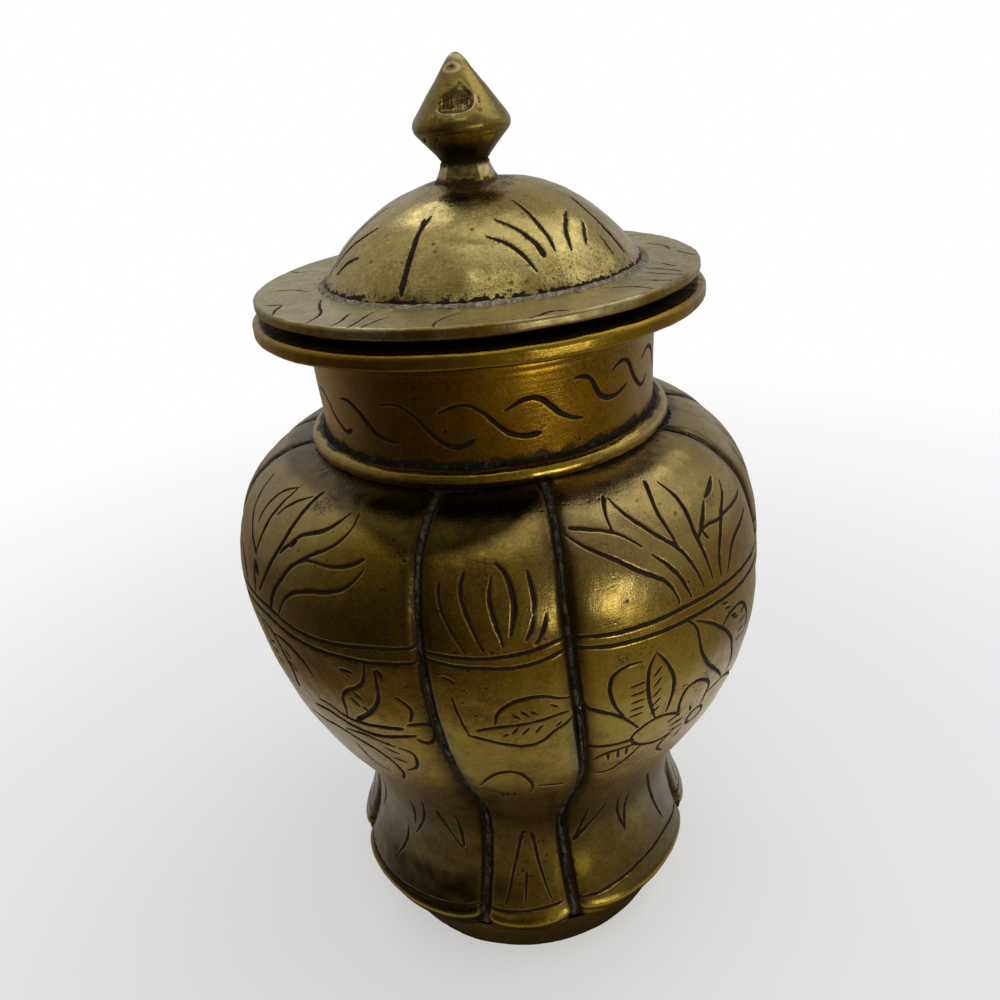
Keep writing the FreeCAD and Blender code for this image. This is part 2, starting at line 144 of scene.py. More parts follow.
right_flower_strokes = (
    ("lens", 1.3, (36.3, 100.9, 38.7, 97.5, 39.3, 93.3, 41, 88.1, 43.7, 84.2, 47.7, 79.4, 49.8, 76.4)),
    ("lens", 1.3, (38.7, 99.4, 43, 96.4, 46.3, 93.2, 49, 90, 51, 86.2, 52.3, 82.4, 53, 79, 52.3, 76.2)),
    ("lens", 1.1, (46.6, 93.7, 49, 95.1, 51.7, 95.4, 54.3, 94.8, 56.3, 92.5, 57.3, 89.4, 57.7, 86.2,
                   57.3, 83.5)),
    ("lens", 1.2, (25.5, 96.1, 22.3, 95.9, 20, 94.5, 19.1, 91.9, 19.3, 88.8, 20.3, 85.2, 21.9, 82.1)),
    ("lens", 1.3, (28.6, 96.9, 27.1, 93.9, 26.7, 90.7, 26.8, 86.9, 27.7, 82.4, 29.3, 77.4)),
    ("lens", 1.3, (28.9, 96.5, 30.5, 93.9, 32, 90.3, 32.7, 86.9, 32.5, 83.1, 31.9, 77.9)),
    ("nail", 1.8, (12.9, 87.7, 16.3, 85.6, 19.7, 83.4, 22.3, 80.6, 24, 78.3, 25.5, 76)),
    ("even", 1.2, (13.7, 72.7, 17, 72.2, 21, 71.9, 24.9, 71.9)),
    ("even", 1.1, (24.2, 71.8, 24.6, 73.4, 26.3, 75.1, 28, 76.3, 30, 76.9, 33.7, 76, 36, 74.4)),
    ("even", 1.1, (24.2, 71.8, 25.7, 69.8, 28.3, 67.8, 31.7, 66.9, 34.9, 67.5)),
    ("even", 1.1, (36.3, 73.5, 35.3, 77.8, 35.5, 80.5, 36.3, 82.3, 38.7, 83.2, 41, 82.3, 43, 80.5,
                   44.5, 77.5, 44.3, 75, 43.6, 72.2)),
    ("even", 1.0, (42.5, 71.4, 44.6, 70.4, 45.2, 68.8, 44.3, 67.2, 42.4, 66.6, 40.4, 67.4, 39.8, 69,
                   40.5, 70.7, 42.5, 71.4)),
    ("lens", 1.5, (44.5, 75.2, 48.3, 75.3, 52.3, 74.8, 56.3, 72.5, 60.3, 69.2, 63.7, 66, 67, 62.4,
                   68.7, 59.2)),
    ("lens", 1.0, (16, 66.4, 18.3, 68.5, 21.7, 69.4, 26.2, 69.6)),
    ("lens", 1.0, (27.2, 68, 25, 64.8, 23, 62.2, 20.7, 60.4, 17, 60.6)),
    ("lens", 1.0, (36.2, 68.2, 33.7, 65.4, 33, 63, 34.3, 60.6, 36, 59)),
    *ticks(0.8, (33.2, 73, 36.4, 74.4), (34, 71, 38, 71.4), (34.6, 69, 38.4, 68.6),
                (39.4, 74.6, 40, 72.4), (38.6, 66.4, 37.6, 64), (19.6, 69, 19.8, 66),
                (21.8, 69.2, 22, 65.8), (23.8, 69.2, 23.9, 66.2)),
)
right_petal_ticks = (
    tick_row(0.7, 23.2, 26.0, 0.3, (90.2, 87.8, 85.4, 83.0, 80.8))
    + tick_row(0.6, 27.9, 29.6, 1.9, (91.0, 88.2, 85.2, 82.2, 79.4))
    + ticks(0.6, *((46.4 + turn, 99.2 - turn * 1.5, 48.6 + turn, 98.4 - turn * 1.5)
                   for turn in (0.0, 1.2, 2.3, 3.3, 4.0)))
    + tick_row(0.6, 53.6, 56.0, 0.4, (92.6, 90.0, 87.4, 84.8)))
right_foot_strokes = (
    ("lens", 1.0, (20.6, 37.5, 20, 33, 18.8, 28, 16.9, 24.5)),
    ("tail", 1.7, (26.5, 36.5, 24.5, 32, 20.5, 27.5, 16.9, 24.3)),
    ("lens", 1.1, (31.5, 36, 32.5, 31, 34.5, 26, 36.8, 21.3)),
    ("lens", 1.2, (36.3, 36, 36.3, 31, 36.8, 25, 36.8, 21.1)),
    ("lens", 1.5, (42, 40, 46.5, 33, 51, 26, 54, 20, 57.5, 13.2)),
    ("lens", 1.1, (61, 37, 62.5, 31, 66, 24, 68.5, 20)),
    ("lens", 1.1, (68.5, 37, 68.9, 31, 68.8, 25, 68.6, 20.4)),
    ("even", 1.1, (16.5, 6.8, 25, 7.4, 30, 8, 38, 8.8, 47, 9.6, 57, 10, 66, 9.4, 75, 8.6)),
)
left_fan_strokes = (
    ("lens", 1.3, (-24.5, 120.7, -26.3, 118, -29.1, 115.8, -32.7, 114.5, -37, 113.5, -40.9, 112,
                   -43.4, 110, -45.2, 107.5, -46.6, 104.9)),
    ("nail", 1.2, (-24.8, 122.7, -27, 121.3, -29.9, 120.3, -34.1, 119.9, -37.7, 119.8, -40, 118.9)),
    ("tail", 1.5, (-30.4, 132, -29.9, 129.5, -30.7, 126.5, -32.7, 124, -36.3, 121.8, -39.9, 119.3,
                   -43.1, 116.5, -45.2, 113.5, -47.4, 110, -49.6, 105.2)),
    ("lens", 1.5, (-32.6, 131.6, -35.2, 127.8, -37, 126.5, -39.9, 125.3, -42.4, 124, -44.1, 122)),
    ("even", 2.1, (-43.2, 123, -44.3, 121.2)), ("lens", 1.1, (-44.4, 121.8, -45.6, 120.5, -46.8, 118.8)),
    ("nail", 2.0, (-45.9, 134.4, -46.3, 130.5, -46.3, 127, -46.6, 123, -47.4, 120, -48.8, 116.5,
                   -50.6, 112.5, -53.6, 107.8)),
    ("lens", 1.0, (-47.6, 132.7, -50.6, 130.5, -52.7, 128, -53.9, 125.3)),
    ("lens", 1.2, (-54.9, 133.7, -55.2, 129, -55.6, 124, -55.6, 119, -55.9, 115.5)),
    ("lens", 1.2, (-56.1, 114, -55.7, 110.5, -55.9, 106.3)),
    ("lens", 1.0, (-55.5, 132.5, -58.4, 130.5, -59.9, 128, -60.2, 125, -59.8, 121.3)),
    ("tail", 1.4, (-70.3, 130.2, -67.7, 126, -64.9, 122, -60.6, 118.5, -57.7, 116.5, -55.7, 115.3)),
    ("lens", 1.3, (-68.6, 114.2, -64.1, 112, -61.6, 110, -60.9, 107.5, -61.4, 105.3)),
    ("even", 1.6, (-55.5, 113.6, -53.8, 111.2)),
)
left_branch_strokes = (
    ("lens", 1.2, (-25.3, 100.6, -26, 97, -28, 93.8, -31, 91.9, -32.5, 89.4, -32.9, 86.2, -33.4, 83.8)),
    ("tail", 1.9, (-23.6, 99, -23.7, 95, -24.3, 91.3, -26.7, 87.5, -31.1, 83.3)),
    ("lens", 1.0, (-20.5, 92.7, -18.3, 89.4, -19.1, 86)),
    ("nail", 1.5, (-21.1, 83.6, -25.3, 83.1, -29.3, 82.6, -34, 83.1, -37.3, 84.7, -40.3, 85.3)),
    ("even", 1.2, (-19, 81.4, -22.7, 80.6, -27.3, 79.5, -32.7, 80.2, -36.7, 81.5, -40, 82.3,
                   -43.5, 81.7)),
    ("even", 1.3, (-19.7, 84.8, -17.3, 85, -15.5, 83.8, -15.3, 80.6, -17.3, 78.7, -19, 80.2)),
    ("lens", 1.0, (-24, 76.3, -21.3, 74.6, -21.2, 72, -22.3, 68.8, -24.8, 67.1)),
    ("even", 1.1, (-48.2, 76.2, -42.7, 76.3, -37.3, 76.4, -34, 74.9, -30.7, 73.3, -28, 70.7, -26.8, 67.5,
                   -27, 63.4, -28.4, 60.4)),
    ("lens", 0.9, (-36, 72, -35.3, 68.8, -34.7, 66, -30.6, 63)),
    ("lens", 0.8, (-35.9, 77.9, -31.3, 78.3, -26.9, 77.2)),
    ("tail", 1.6, (-55.2, 99.2, -52, 98.3, -50, 96.7, -48.3, 93.8, -47, 90.7, -47.3, 86.9, -48.1, 84.8)),
    ("lens", 1.2, (-50.8, 97.9, -46.7, 98.4, -43.3, 97, -40.7, 95, -39.2, 92.6)),
    ("lens", 1.1, (-60.2, 98.9, -57, 98.6, -55.3, 96.4, -55, 91.9, -52.7, 88.2, -50.1, 84.5)),
    *ticks(0.7, (-47.6, 95.6, -46, 93.8), (-46.6, 92.6, -44.8, 91), (-54, 94.4, -52.2, 94.8),
                (-54, 92.2, -51.4, 92.4), (-53.4, 90, -50.4, 90), (-30.4, 90.3, -28.9, 88.4),
                (-29.4, 92.1, -27.9, 90.6), (-28, 88.6, -27.2, 87.2), (-28.2, 77.6, -24.6, 76.6),
                (-27.6, 75.2, -24.4, 73.8), (-26.4, 71.8, -23.8, 70.6)),
    ("even", 1.5, (-22.9, 99.2, -22.4, 97.4)), ("lens", 1.3, (-31.3, 97.5, -28.6, 97.3)),
    ("lens", 0.9, (-70, 90, -67, 84, -66.4, 78, -68, 72)), ("lens", 0.9, (-62, 84, -60.4, 78, -62, 70)),
)
left_foot_strokes = (
    ("nail", 1.3, (-28.4, 37, -28, 33, -26, 28.5, -24, 26, -21.9, 23.9)),
    ("lens", 1.3, (-22.5, 36, -22, 32, -21.6, 28, -21.3, 24.1)),
    ("lens", 1.1, (-33, 40, -34, 35, -38, 27, -41, 23)), ("lens", 1.1, (-39, 37, -40, 31, -41.2, 26)),
    ("lens", 1.2, (-45, 23.5, -46, 18.5, -48, 14.5, -50.6, 10.8)),
    ("lens", 1.1, (-58, 37, -59, 31, -62, 24, -64.5, 20)),
    ("even", 1.0, (-73, 7, -60, 5.4, -45, 5.2, -35, 5.8, -28, 6.2, -23, 6.6, -16, 7.5)),
)
right_band_strokes = (
    ("even", 1.3, (12.6, 105, 20, 104.4, 25, 104.2, 30, 104.1, 40, 103.8, 50, 103.1, 60, 102.6, 68, 102.4,
                   75, 102.6)),
    ("even", 1.3, (12.6, 102.8, 20, 101.7, 25, 101.5, 30, 101.3, 40, 100.7, 50, 99.9, 60, 99.3, 68, 99.2,
                   75, 99.4)),
)
left_band_strokes = (
    ("even", 1.4, (-79, 104.2, -70, 104.5, -60, 104.9, -50, 104.8, -45, 104, -40, 103.3, -35, 103.2,
                   -30, 103.5, -25, 104.2, -20, 104.5, -14, 104.9)),
    ("even", 1.4, (-79, 101.2, -70, 101.6, -60, 102, -50, 102.2, -45, 101.5, -40, 100.8, -30, 100.6,
                   -20, 101, -14, 101.4)),
)
side_band = (
    ("even", 1.2, (74, 102.8, 80, 103.4, 90, 103.8, 100, 103.4, 106, 103)),
    ("even", 1.2, (74, 99.6, 80, 100, 90, 100.4, 100, 100.2, 106, 99.8)),
)
# Stains on the panels: (azimuth, length, size, strength)
stain_spots = (
    (-42, 133, 5.5, 0.5), (-55, 112, 1.6, 0.8), (21.5, 98.6, 1.8, 0.45), (-3, 96.5, 7, 0.35),
    (8, 95, 6, 0.3), (24, 97, 6, 0.3), (-22, 101, 3, 0.5), (30, 60, 9, 0.25), (-30, 58, 10, 0.3),
    (52, 121, 3, 0.5),
)
# Painted shade under the neck, a painted dark reflection of the neck and bead with some brown patina: where
# it starts and how strong it is, by azimuth
painted_shade_edges = ((-180, 133), (-90, 133), (-60, 134), (-45, 134), (-32, 130.5), (-17, 123.6), (-13, 123.0),
              (-6, 124.6), (0, 126.4), (7, 130), (12, 134.5), (17, 140), (45, 140), (90, 138), (130, 134),
              (180, 133))
painted_shade_strengths = ((-180, 0.8), (-60, 0.7), (-40, 0.68), (-25, 0.82), (-13, 0.96), (13, 0.96), (20, 0.5),
                  (60, 0.45), (100, 0.65), (180, 0.8))
# Painted shade on the foot, for its contact shadow as the metal would reflect it, by azimuth
foot_painted_shades = ((-180, 0.60), (-90, 0.68), (-65, 0.80), (-45, 0.76), (-25, 0.78), (-12, 0.74), (5, 0.56),
              (20, 0.62), (50, 0.73), (90, 0.74), (180, 0.66))
# Painted highlights on the foot, as brighter rubbed brass and gaps in the painted shade: (azimuth, length,
# spread round, spread along, strength)
painted_highlight_spots = ((19.5, 16.5, 3.4, 4.2, 0.9), (22, 3.4, 7, 2.4, 0.85), (9.5, 4.6, 4.5, 2.6, 0.85),
                  (10.5, 16, 1.8, 5, 0.4), (-9, 5, 4, 2, 0.3), (44, 22, 7, 6, 0.2))
# Bulges of the foot beside the front seam: (azimuth, length, height, size)
foot_bulges = ((21, 17, 0.42, 5.0), (10, 16, 0.25, 3.5), (-24, 20, 0.3, 6.0))
side_strokes = (
    ("lens", 1.0, (79, 122, 79.4, 118, 81.5, 115, 84, 112)),
    ("lens", 1.3, (85.5, 127, 84.6, 123, 85.4, 119, 87.2, 115)),
    ("lens", 1.0, (92, 124, 91, 119, 90, 114, 90.4, 109)), ("lens", 1.0, (96, 122, 95, 117, 93.6, 112)),
)
# The narrow side panels carry the front's leaf and foot strokes below their band
side_strokes += moved(front_strokes[8:-2], 89)
neck_strokes = (
    ("tail", 1.4, (-67.3, 154.7, -62.4, 154, -59.2, 152.3, -56, 150, -52.7, 148.3, -49.5, 147.3,
                   -46.6, 148.2)),
    ("lens", 1.9, (-49.8, 155.1, -46.3, 155.1, -42.3, 153.8, -39, 151.7, -35.8, 149.4, -31.8, 148,
                   -27, 147.6)),
    ("tail", 1.7, (-31, 155.7, -25.3, 156, -21.3, 154.4, -18, 152, -14.8, 149.4, -11.6, 147.7, -8.4, 147,
                   -3, 148.4)),
    ("tail", 1.7, (-12.6, 154.6, -8.4, 155.8, -3.5, 156, -0.3, 154.6, 2.9, 152.3, 7, 149.6, 11, 148.4,
                   16.6, 148.4)),
    ("lens", 1.7, (6.8, 154.3, 10.2, 155.5, 15, 156.2, 18.2, 155.2, 21.5, 152.9, 25.5, 150.7,
                   30.9, 149.4)),
    ("lens", 1.8, (28.5, 158.3, 32.7, 157.9, 35.2, 156.1, 36.8, 153.8, 42.4, 151.7, 49.9, 153)),
    ("lens", 1.7, (43, 157.2, 47.3, 158.6, 51.3, 157.3, 52.9, 155.2, 56.1, 152.3, 60.2, 150.5,
                   64.4, 152)),
    ("lens", 1.5, (59.8, 156.4, 65.8, 157.9, 70.4, 156.6, 73, 154, 76, 151.4, 80, 150.2, 84.5, 151.6)),
)
# The wave goes on round the back of the neck
back_wave = (("lens", 1.6, (0, 153.8, 5, 156.0, 10, 156.0, 14, 153.8, 18, 150.6, 22, 148.4, 27, 147.9,
                            31, 149.2)),)
for turn in range(78, 270, 24):
    neck_strokes += moved(back_wave, turn)


def smooth_line(points, step):
    """Natural cubic through the points, taken at even lengths along it."""
    points = np.array(points, float)
    chord = np.concatenate([[0], np.cumsum(np.linalg.norm(np.diff(points, axis=0), axis=1))])
    gaps = np.diff(chord)
    count = len(points)
    system = np.eye(count)
    bends = np.zeros_like(points)
    for index in range(1, count - 1):
        before, after = gaps[index - 1], gaps[index]
        system[index, index - 1:index + 2] = (before, 2 * (before + after), after)
        bends[index] = 6 * ((points[index + 1] - points[index]) / after
                            - (points[index] - points[index - 1]) / before)
    bends = np.linalg.solve(system, bends)
    fine = np.linspace(0, chord[-1], max(2, int(chord[-1] / step)) * 4 + 1)
    slot = np.clip(np.searchsorted(chord, fine, side="right") - 1, 0, count - 2)
    gap = gaps[slot][:, None]
    ahead = (chord[slot + 1] - fine)[:, None]
    behind = (fine - chord[slot])[:, None]
    line = (bends[slot] * ahead ** 3 + bends[slot + 1] * behind ** 3) / (6 * gap)
    line += (points[slot] / gap - bends[slot] * gap / 6) * ahead
    line += (points[slot + 1] / gap - bends[slot + 1] * gap / 6) * behind
    length = np.concatenate([[0], np.cumsum(np.linalg.norm(np.diff(line, axis=0), axis=1))])
    even = np.linspace(0, length[-1], max(2, int(length[-1] / step)) + 1)
    return np.stack([np.interp(even, length, values) for values in line.T], axis=1), even


crest_line, crest_lengths = smooth_line(crest_points, 0.1)
crest_length = crest_lengths[-1]


def table_value(table, place):
    """Value of a table of (place, value) pairs, on straight lines between them."""
    table = np.array(table, float)
    return np.interp(place, table[:, 0], table[:, 1])


def seam_azimuth(name, length):
    """Azimuth of a seam at a length along the crest line."""
    line, _ = smooth_line(seam_lines[name], 0.5)
    return np.interp(length, line[:, 0], line[:, 1])


def lumps(points, size, seed, waves=14):
    """Smooth unevenness between about -1 and 1, with bumps of about the given size."""
    dice = np.random.default_rng(seed)
    total = np.zeros(len(points))
    for _ in range(waves):
        way = dice.normal(size=3)
        way /= np.linalg.norm(way)
        pitch = size * dice.uniform(0.75, 1.6)
        total += np.sin(points @ way * 2 * math.pi / pitch + dice.uniform(0, 2 * math.pi))
    return total / math.sqrt(waves)


def lean(points):
    """Hand-raised body: every level shifts a little to one side."""
    points[:, 0] += table_value(lean_points, points[:, 2])
    return points


def smooth_step(low, high, value):
    """0 at low, 1 at high and a soft rise between them; high may be the smaller."""
    share = np.clip((value - low) / (high - low), 0, 1)
    return share * share * (3 - 2 * share)


def hill(value, middle, width):
    """1 where the value is at the middle, falling off on both sides."""
    return np.exp(-((value - middle) / width) ** 2)


def spot(across, middle, spread, along, place, reach):
    """1 at one place of a surface, falling off all round it."""
    return np.exp(-(((across - middle) / spread) ** 2 + ((along - place) / reach) ** 2))


def around(azimuth):
    """The same azimuth between -180 and 180."""
    return (azimuth + 180) % 360 - 180


cut_width_share = 0.55
cut_depth_share = 0.85
hand_wobble = 0.018
wobble_waves = 4
# The dark of a cut reaches a little past its edge
cut_spread = 0.16


def stroke_cuts(across, along, strokes, scale_across, jitter_seed):
    """Depth of the engraved strokes at places of the skin, and how near each place is to a stroke.

    across and along are the places (azimuth and length), scale_across brings an azimuth to millimetres.
    The nearness is 0 from a millimetre away, 1 at the edge of a stroke's dark and more inside it.
    """
    depth = np.zeros(len(across))
    groove = np.zeros(len(across))
    dice = np.random.default_rng(jitter_seed)
    for kind, width, flat in strokes:
        points = np.array(flat, float).reshape(-1, 2)
        middle = points.mean(axis=0)
        scale = float(scale_across(middle[1]))
        path = points * (scale, 1)
        path, lengths = smooth_line(path, 0.5)
        wobble = dice.normal(size=(wobble_waves, 2)) * hand_wobble
        phase = dice.uniform(0, 2 * math.pi, wobble_waves)
        for turn in range(wobble_waves):
            wave = np.sin(lengths * (turn + 1) * 0.55 + phase[turn])[:, None]
            path = path + wave * wobble[turn]
        share = lengths / lengths[-1]
        swell = {
            "even": np.minimum(1, 6 * np.minimum(share, 1 - share) + 0.45),
            "lens": np.sin(math.pi * np.clip(share, 0.02, 0.98)) ** 0.55,
            "nail": np.clip(1.05 - 0.75 * share, 0, 1) * np.minimum(1, 12 * share + 0.5),
            "tail": np.clip(0.3 + 0.75 * share, 0, 1) * np.minimum(1, 12 * (1 - share) + 0.5),
        }[kind]
        swell = swell * (1 + 0.07 * np.sin(lengths * 1.3 + phase[0]))
        half = width * 0.5 * cut_width_share * np.maximum(swell, 0.12)
        low = path.min(axis=0) - width - 1
        high = path.max(axis=0) + width + 1
        x = across * scale
        near = np.nonzero((x > low[0]) & (x < high[0]) & (along > low[1]) & (along < high[1]))[0]
        if not len(near):
            continue
        best = np.full(len(near), 9.0)
        reach = np.ones(len(near))
        place = np.stack([x[near], along[near]], axis=1)
        for index in range(len(path) - 1):
            way = path[index + 1] - path[index]
            away = place - path[index]
            step = np.clip(away @ way / (way @ way), 0, 1)
            half_here = half[index] + step * (half[index + 1] - half[index])
            gap = np.hypot(away[:, 0] - step * way[0], away[:, 1] - step * way[1]) - half_here
            closer = gap < best
            best[closer] = gap[closer]
            reach[closer] = half_here[closer]
        reach += cut_spread
        cut = np.clip((cut_spread - best) / reach, 0, 1)
        depth[near] = np.maximum(depth[near], np.sin(cut * math.pi / 2) * reach * cut_depth_share)
        groove[near] = np.maximum(groove[near], np.clip(1 + cut_spread - best, 0, 2))
    return depth, groove


def new_object(name, vertices, faces, edges=()):
    """Object of a new mesh, in the frame."""
    mesh = bpy.data.meshes.new(name)
    mesh.from_pydata((np.asarray(vertices, float) * MM).tolist(), edges, faces)
    mesh.update()
    piece = bpy.data.objects.new(name, mesh)
    bpy.context.scene.collection.objects.link(piece)
    return piece


def choose(piece):
    """Make it the one object that the next operators work on."""
    bpy.ops.object.select_all(action="DESELECT")
    piece.select_set(True)
    bpy.context.view_layer.objects.active = piece


def finish_piece(piece, slot, body, nodes, smooth_angle=40, paint=None):
    """Smooth shading, the material, the body it moves with and the nodes it stands for."""
    choose(piece)
    bpy.ops.object.shade_smooth_by_angle(angle=math.radians(smooth_angle))
    piece.data.materials.clear()
    piece.data.materials.append(materials[paint or slot])
    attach(piece, body)
    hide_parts(*nodes)


def set_shade(piece, name, values):
    """Store a value at every vertex, for the materials to read."""
    layer = piece.data.attributes.new(name, "FLOAT", "POINT")
    layer.data.foreach_set("value", np.asarray(values, np.float32))


# A skin's inner face has one cell for so many of the outer face's, each way
grid_step = 8


def shell_mesh(outer, inner, columns):
    """Closed skin from a fine outer grid and a coarse inner one, as vertices and faces.

    The grids are flattened row by row, and the inner one holds every grid_step-th row and column.
    """
    inner_columns = (columns - 1) // grid_step + 1
    first, last = len(outer), len(outer) + len(inner)
    faces = []
    for start in range(0, first - columns, columns):
        faces.extend((start + c, start + c + 1, start + columns + c + 1, start + columns + c)
                     for c in range(columns - 1))
    for start in range(first, last - inner_columns, inner_columns):
        faces.extend((start + c, start + inner_columns + c, start + inner_columns + c + 1, start + c + 1)
                     for c in range(inner_columns - 1))

    def border(outer_ids, inner_ids, flip):
        """Close one side, with grid_step fine edges to each coarse one."""
        for index in range(len(inner_ids) - 1):
            run = outer_ids[index * grid_step:(index + 1) * grid_step + 1]
            near, far = inner_ids[index:index + 2]
            half = len(run) // 2
            pieces = [[run[k], run[k + 1], near] for k in range(half)]
            pieces.append([run[half], far, near])
            pieces += [[run[k], run[k + 1], far] for k in range(half, len(run) - 1)]
            faces.extend(piece[::-1] if flip else piece for piece in pieces)

    border(range(columns), range(first, first + inner_columns), True)
    border(range(first - columns, first), range(last - inner_columns, last), False)
    border(range(0, first, columns), range(first, last, inner_columns), False)
    inner_right = range(first + inner_columns - 1, last, inner_columns)
    border(range(columns - 1, first, columns), inner_right, True)
    return np.concatenate([outer, inner]), faces


def crest_at(length):
    """Radius and height of the crest line at a length along it."""
    return tuple(np.interp(length, crest_lengths, values) for values in crest_line.T)


def seam_depth_at(height):
    """How deep the seams lie under the crest line: less at the shoulder."""
    fade = np.clip((shoulder_height - height) / (shoulder_height - belly_height), 0, 1)
    return shoulder_seam_depth + (seam_depth - shoulder_seam_depth) * fade ** 1.3


def eased(radius, height):
    """How far the skin stays inside the belly's crest line, so that the unevenness has room."""
    return skin_ease * smooth_step(shoulder_height, belly_height, height) * smooth_step(46, 60, radius)


def skin_places(first_seam, second_seam, share, length, set_back):
    """Places on a panel's skin, for a share of the way from one seam to the next and a length."""
    start = seam_azimuth(first_seam, length)
    end = seam_azimuth(second_seam, length)
    end = np.where(end < start - 1, end + 360, end)
    azimuth = start + (end - start) * share
    radius, height = crest_at(length)
    off_middle = np.abs(2 * share - 1)
    rise = 1 - 0.72 * off_middle ** 8 - 0.28 * off_middle ** 2
    sunk = seam_depth_at(height) * (1 - rise) + set_back * rise
    radius = radius - sunk - eased(radius, height)
    turn = np.radians(azimuth)
    return np.stack([radius * np.sin(turn), -radius * np.cos(turn), height], axis=1), azimuth


def grid_normals(points, rows, columns):
    """Outward way at each point of a grid, from its neighbours."""
    grid = points.reshape(rows, columns, 3)
    normals = np.cross(np.gradient(grid, axis=1), np.gradient(grid, axis=0))
    normals /= np.linalg.norm(normals, axis=2, keepdims=True)
    return normals.reshape(-1, 3)


def hand_unevenness(points):
    """Dents and waves that the hammer left, the same over panels and seams."""
    return 0.22 * lumps(points, 34, 11) + 0.07 * lumps(points, 11, 12) + 0.025 * lumps(points, 4, 13)


def shell_piece(name, points, normals, outward, wall, rows, columns):
    """Skin of a grid of points that are moved outward, closed by a coarse face one wall further in."""
    outer = lean(points + normals * outward[:, None])
    inner = (points - normals * wall).reshape(rows, columns, 3)[::grid_step, ::grid_step].reshape(-1, 3)
    inner = lean(inner.copy())
    return new_object(name, *shell_mesh(outer, inner, columns)), outer, len(inner)


# Cells of a panel's inner face, (across a narrow one, across a wide one, along), seen by the camera or not
seen_cells = (12, 28, 54)
unseen_cells = (8, 19, 36)
# Shares of the solder's half width that lie over a panel's edge, and that the panel runs under it
solder_cover = 0.72
solder_overlap = 0.25
panel_cut_share = 0.8


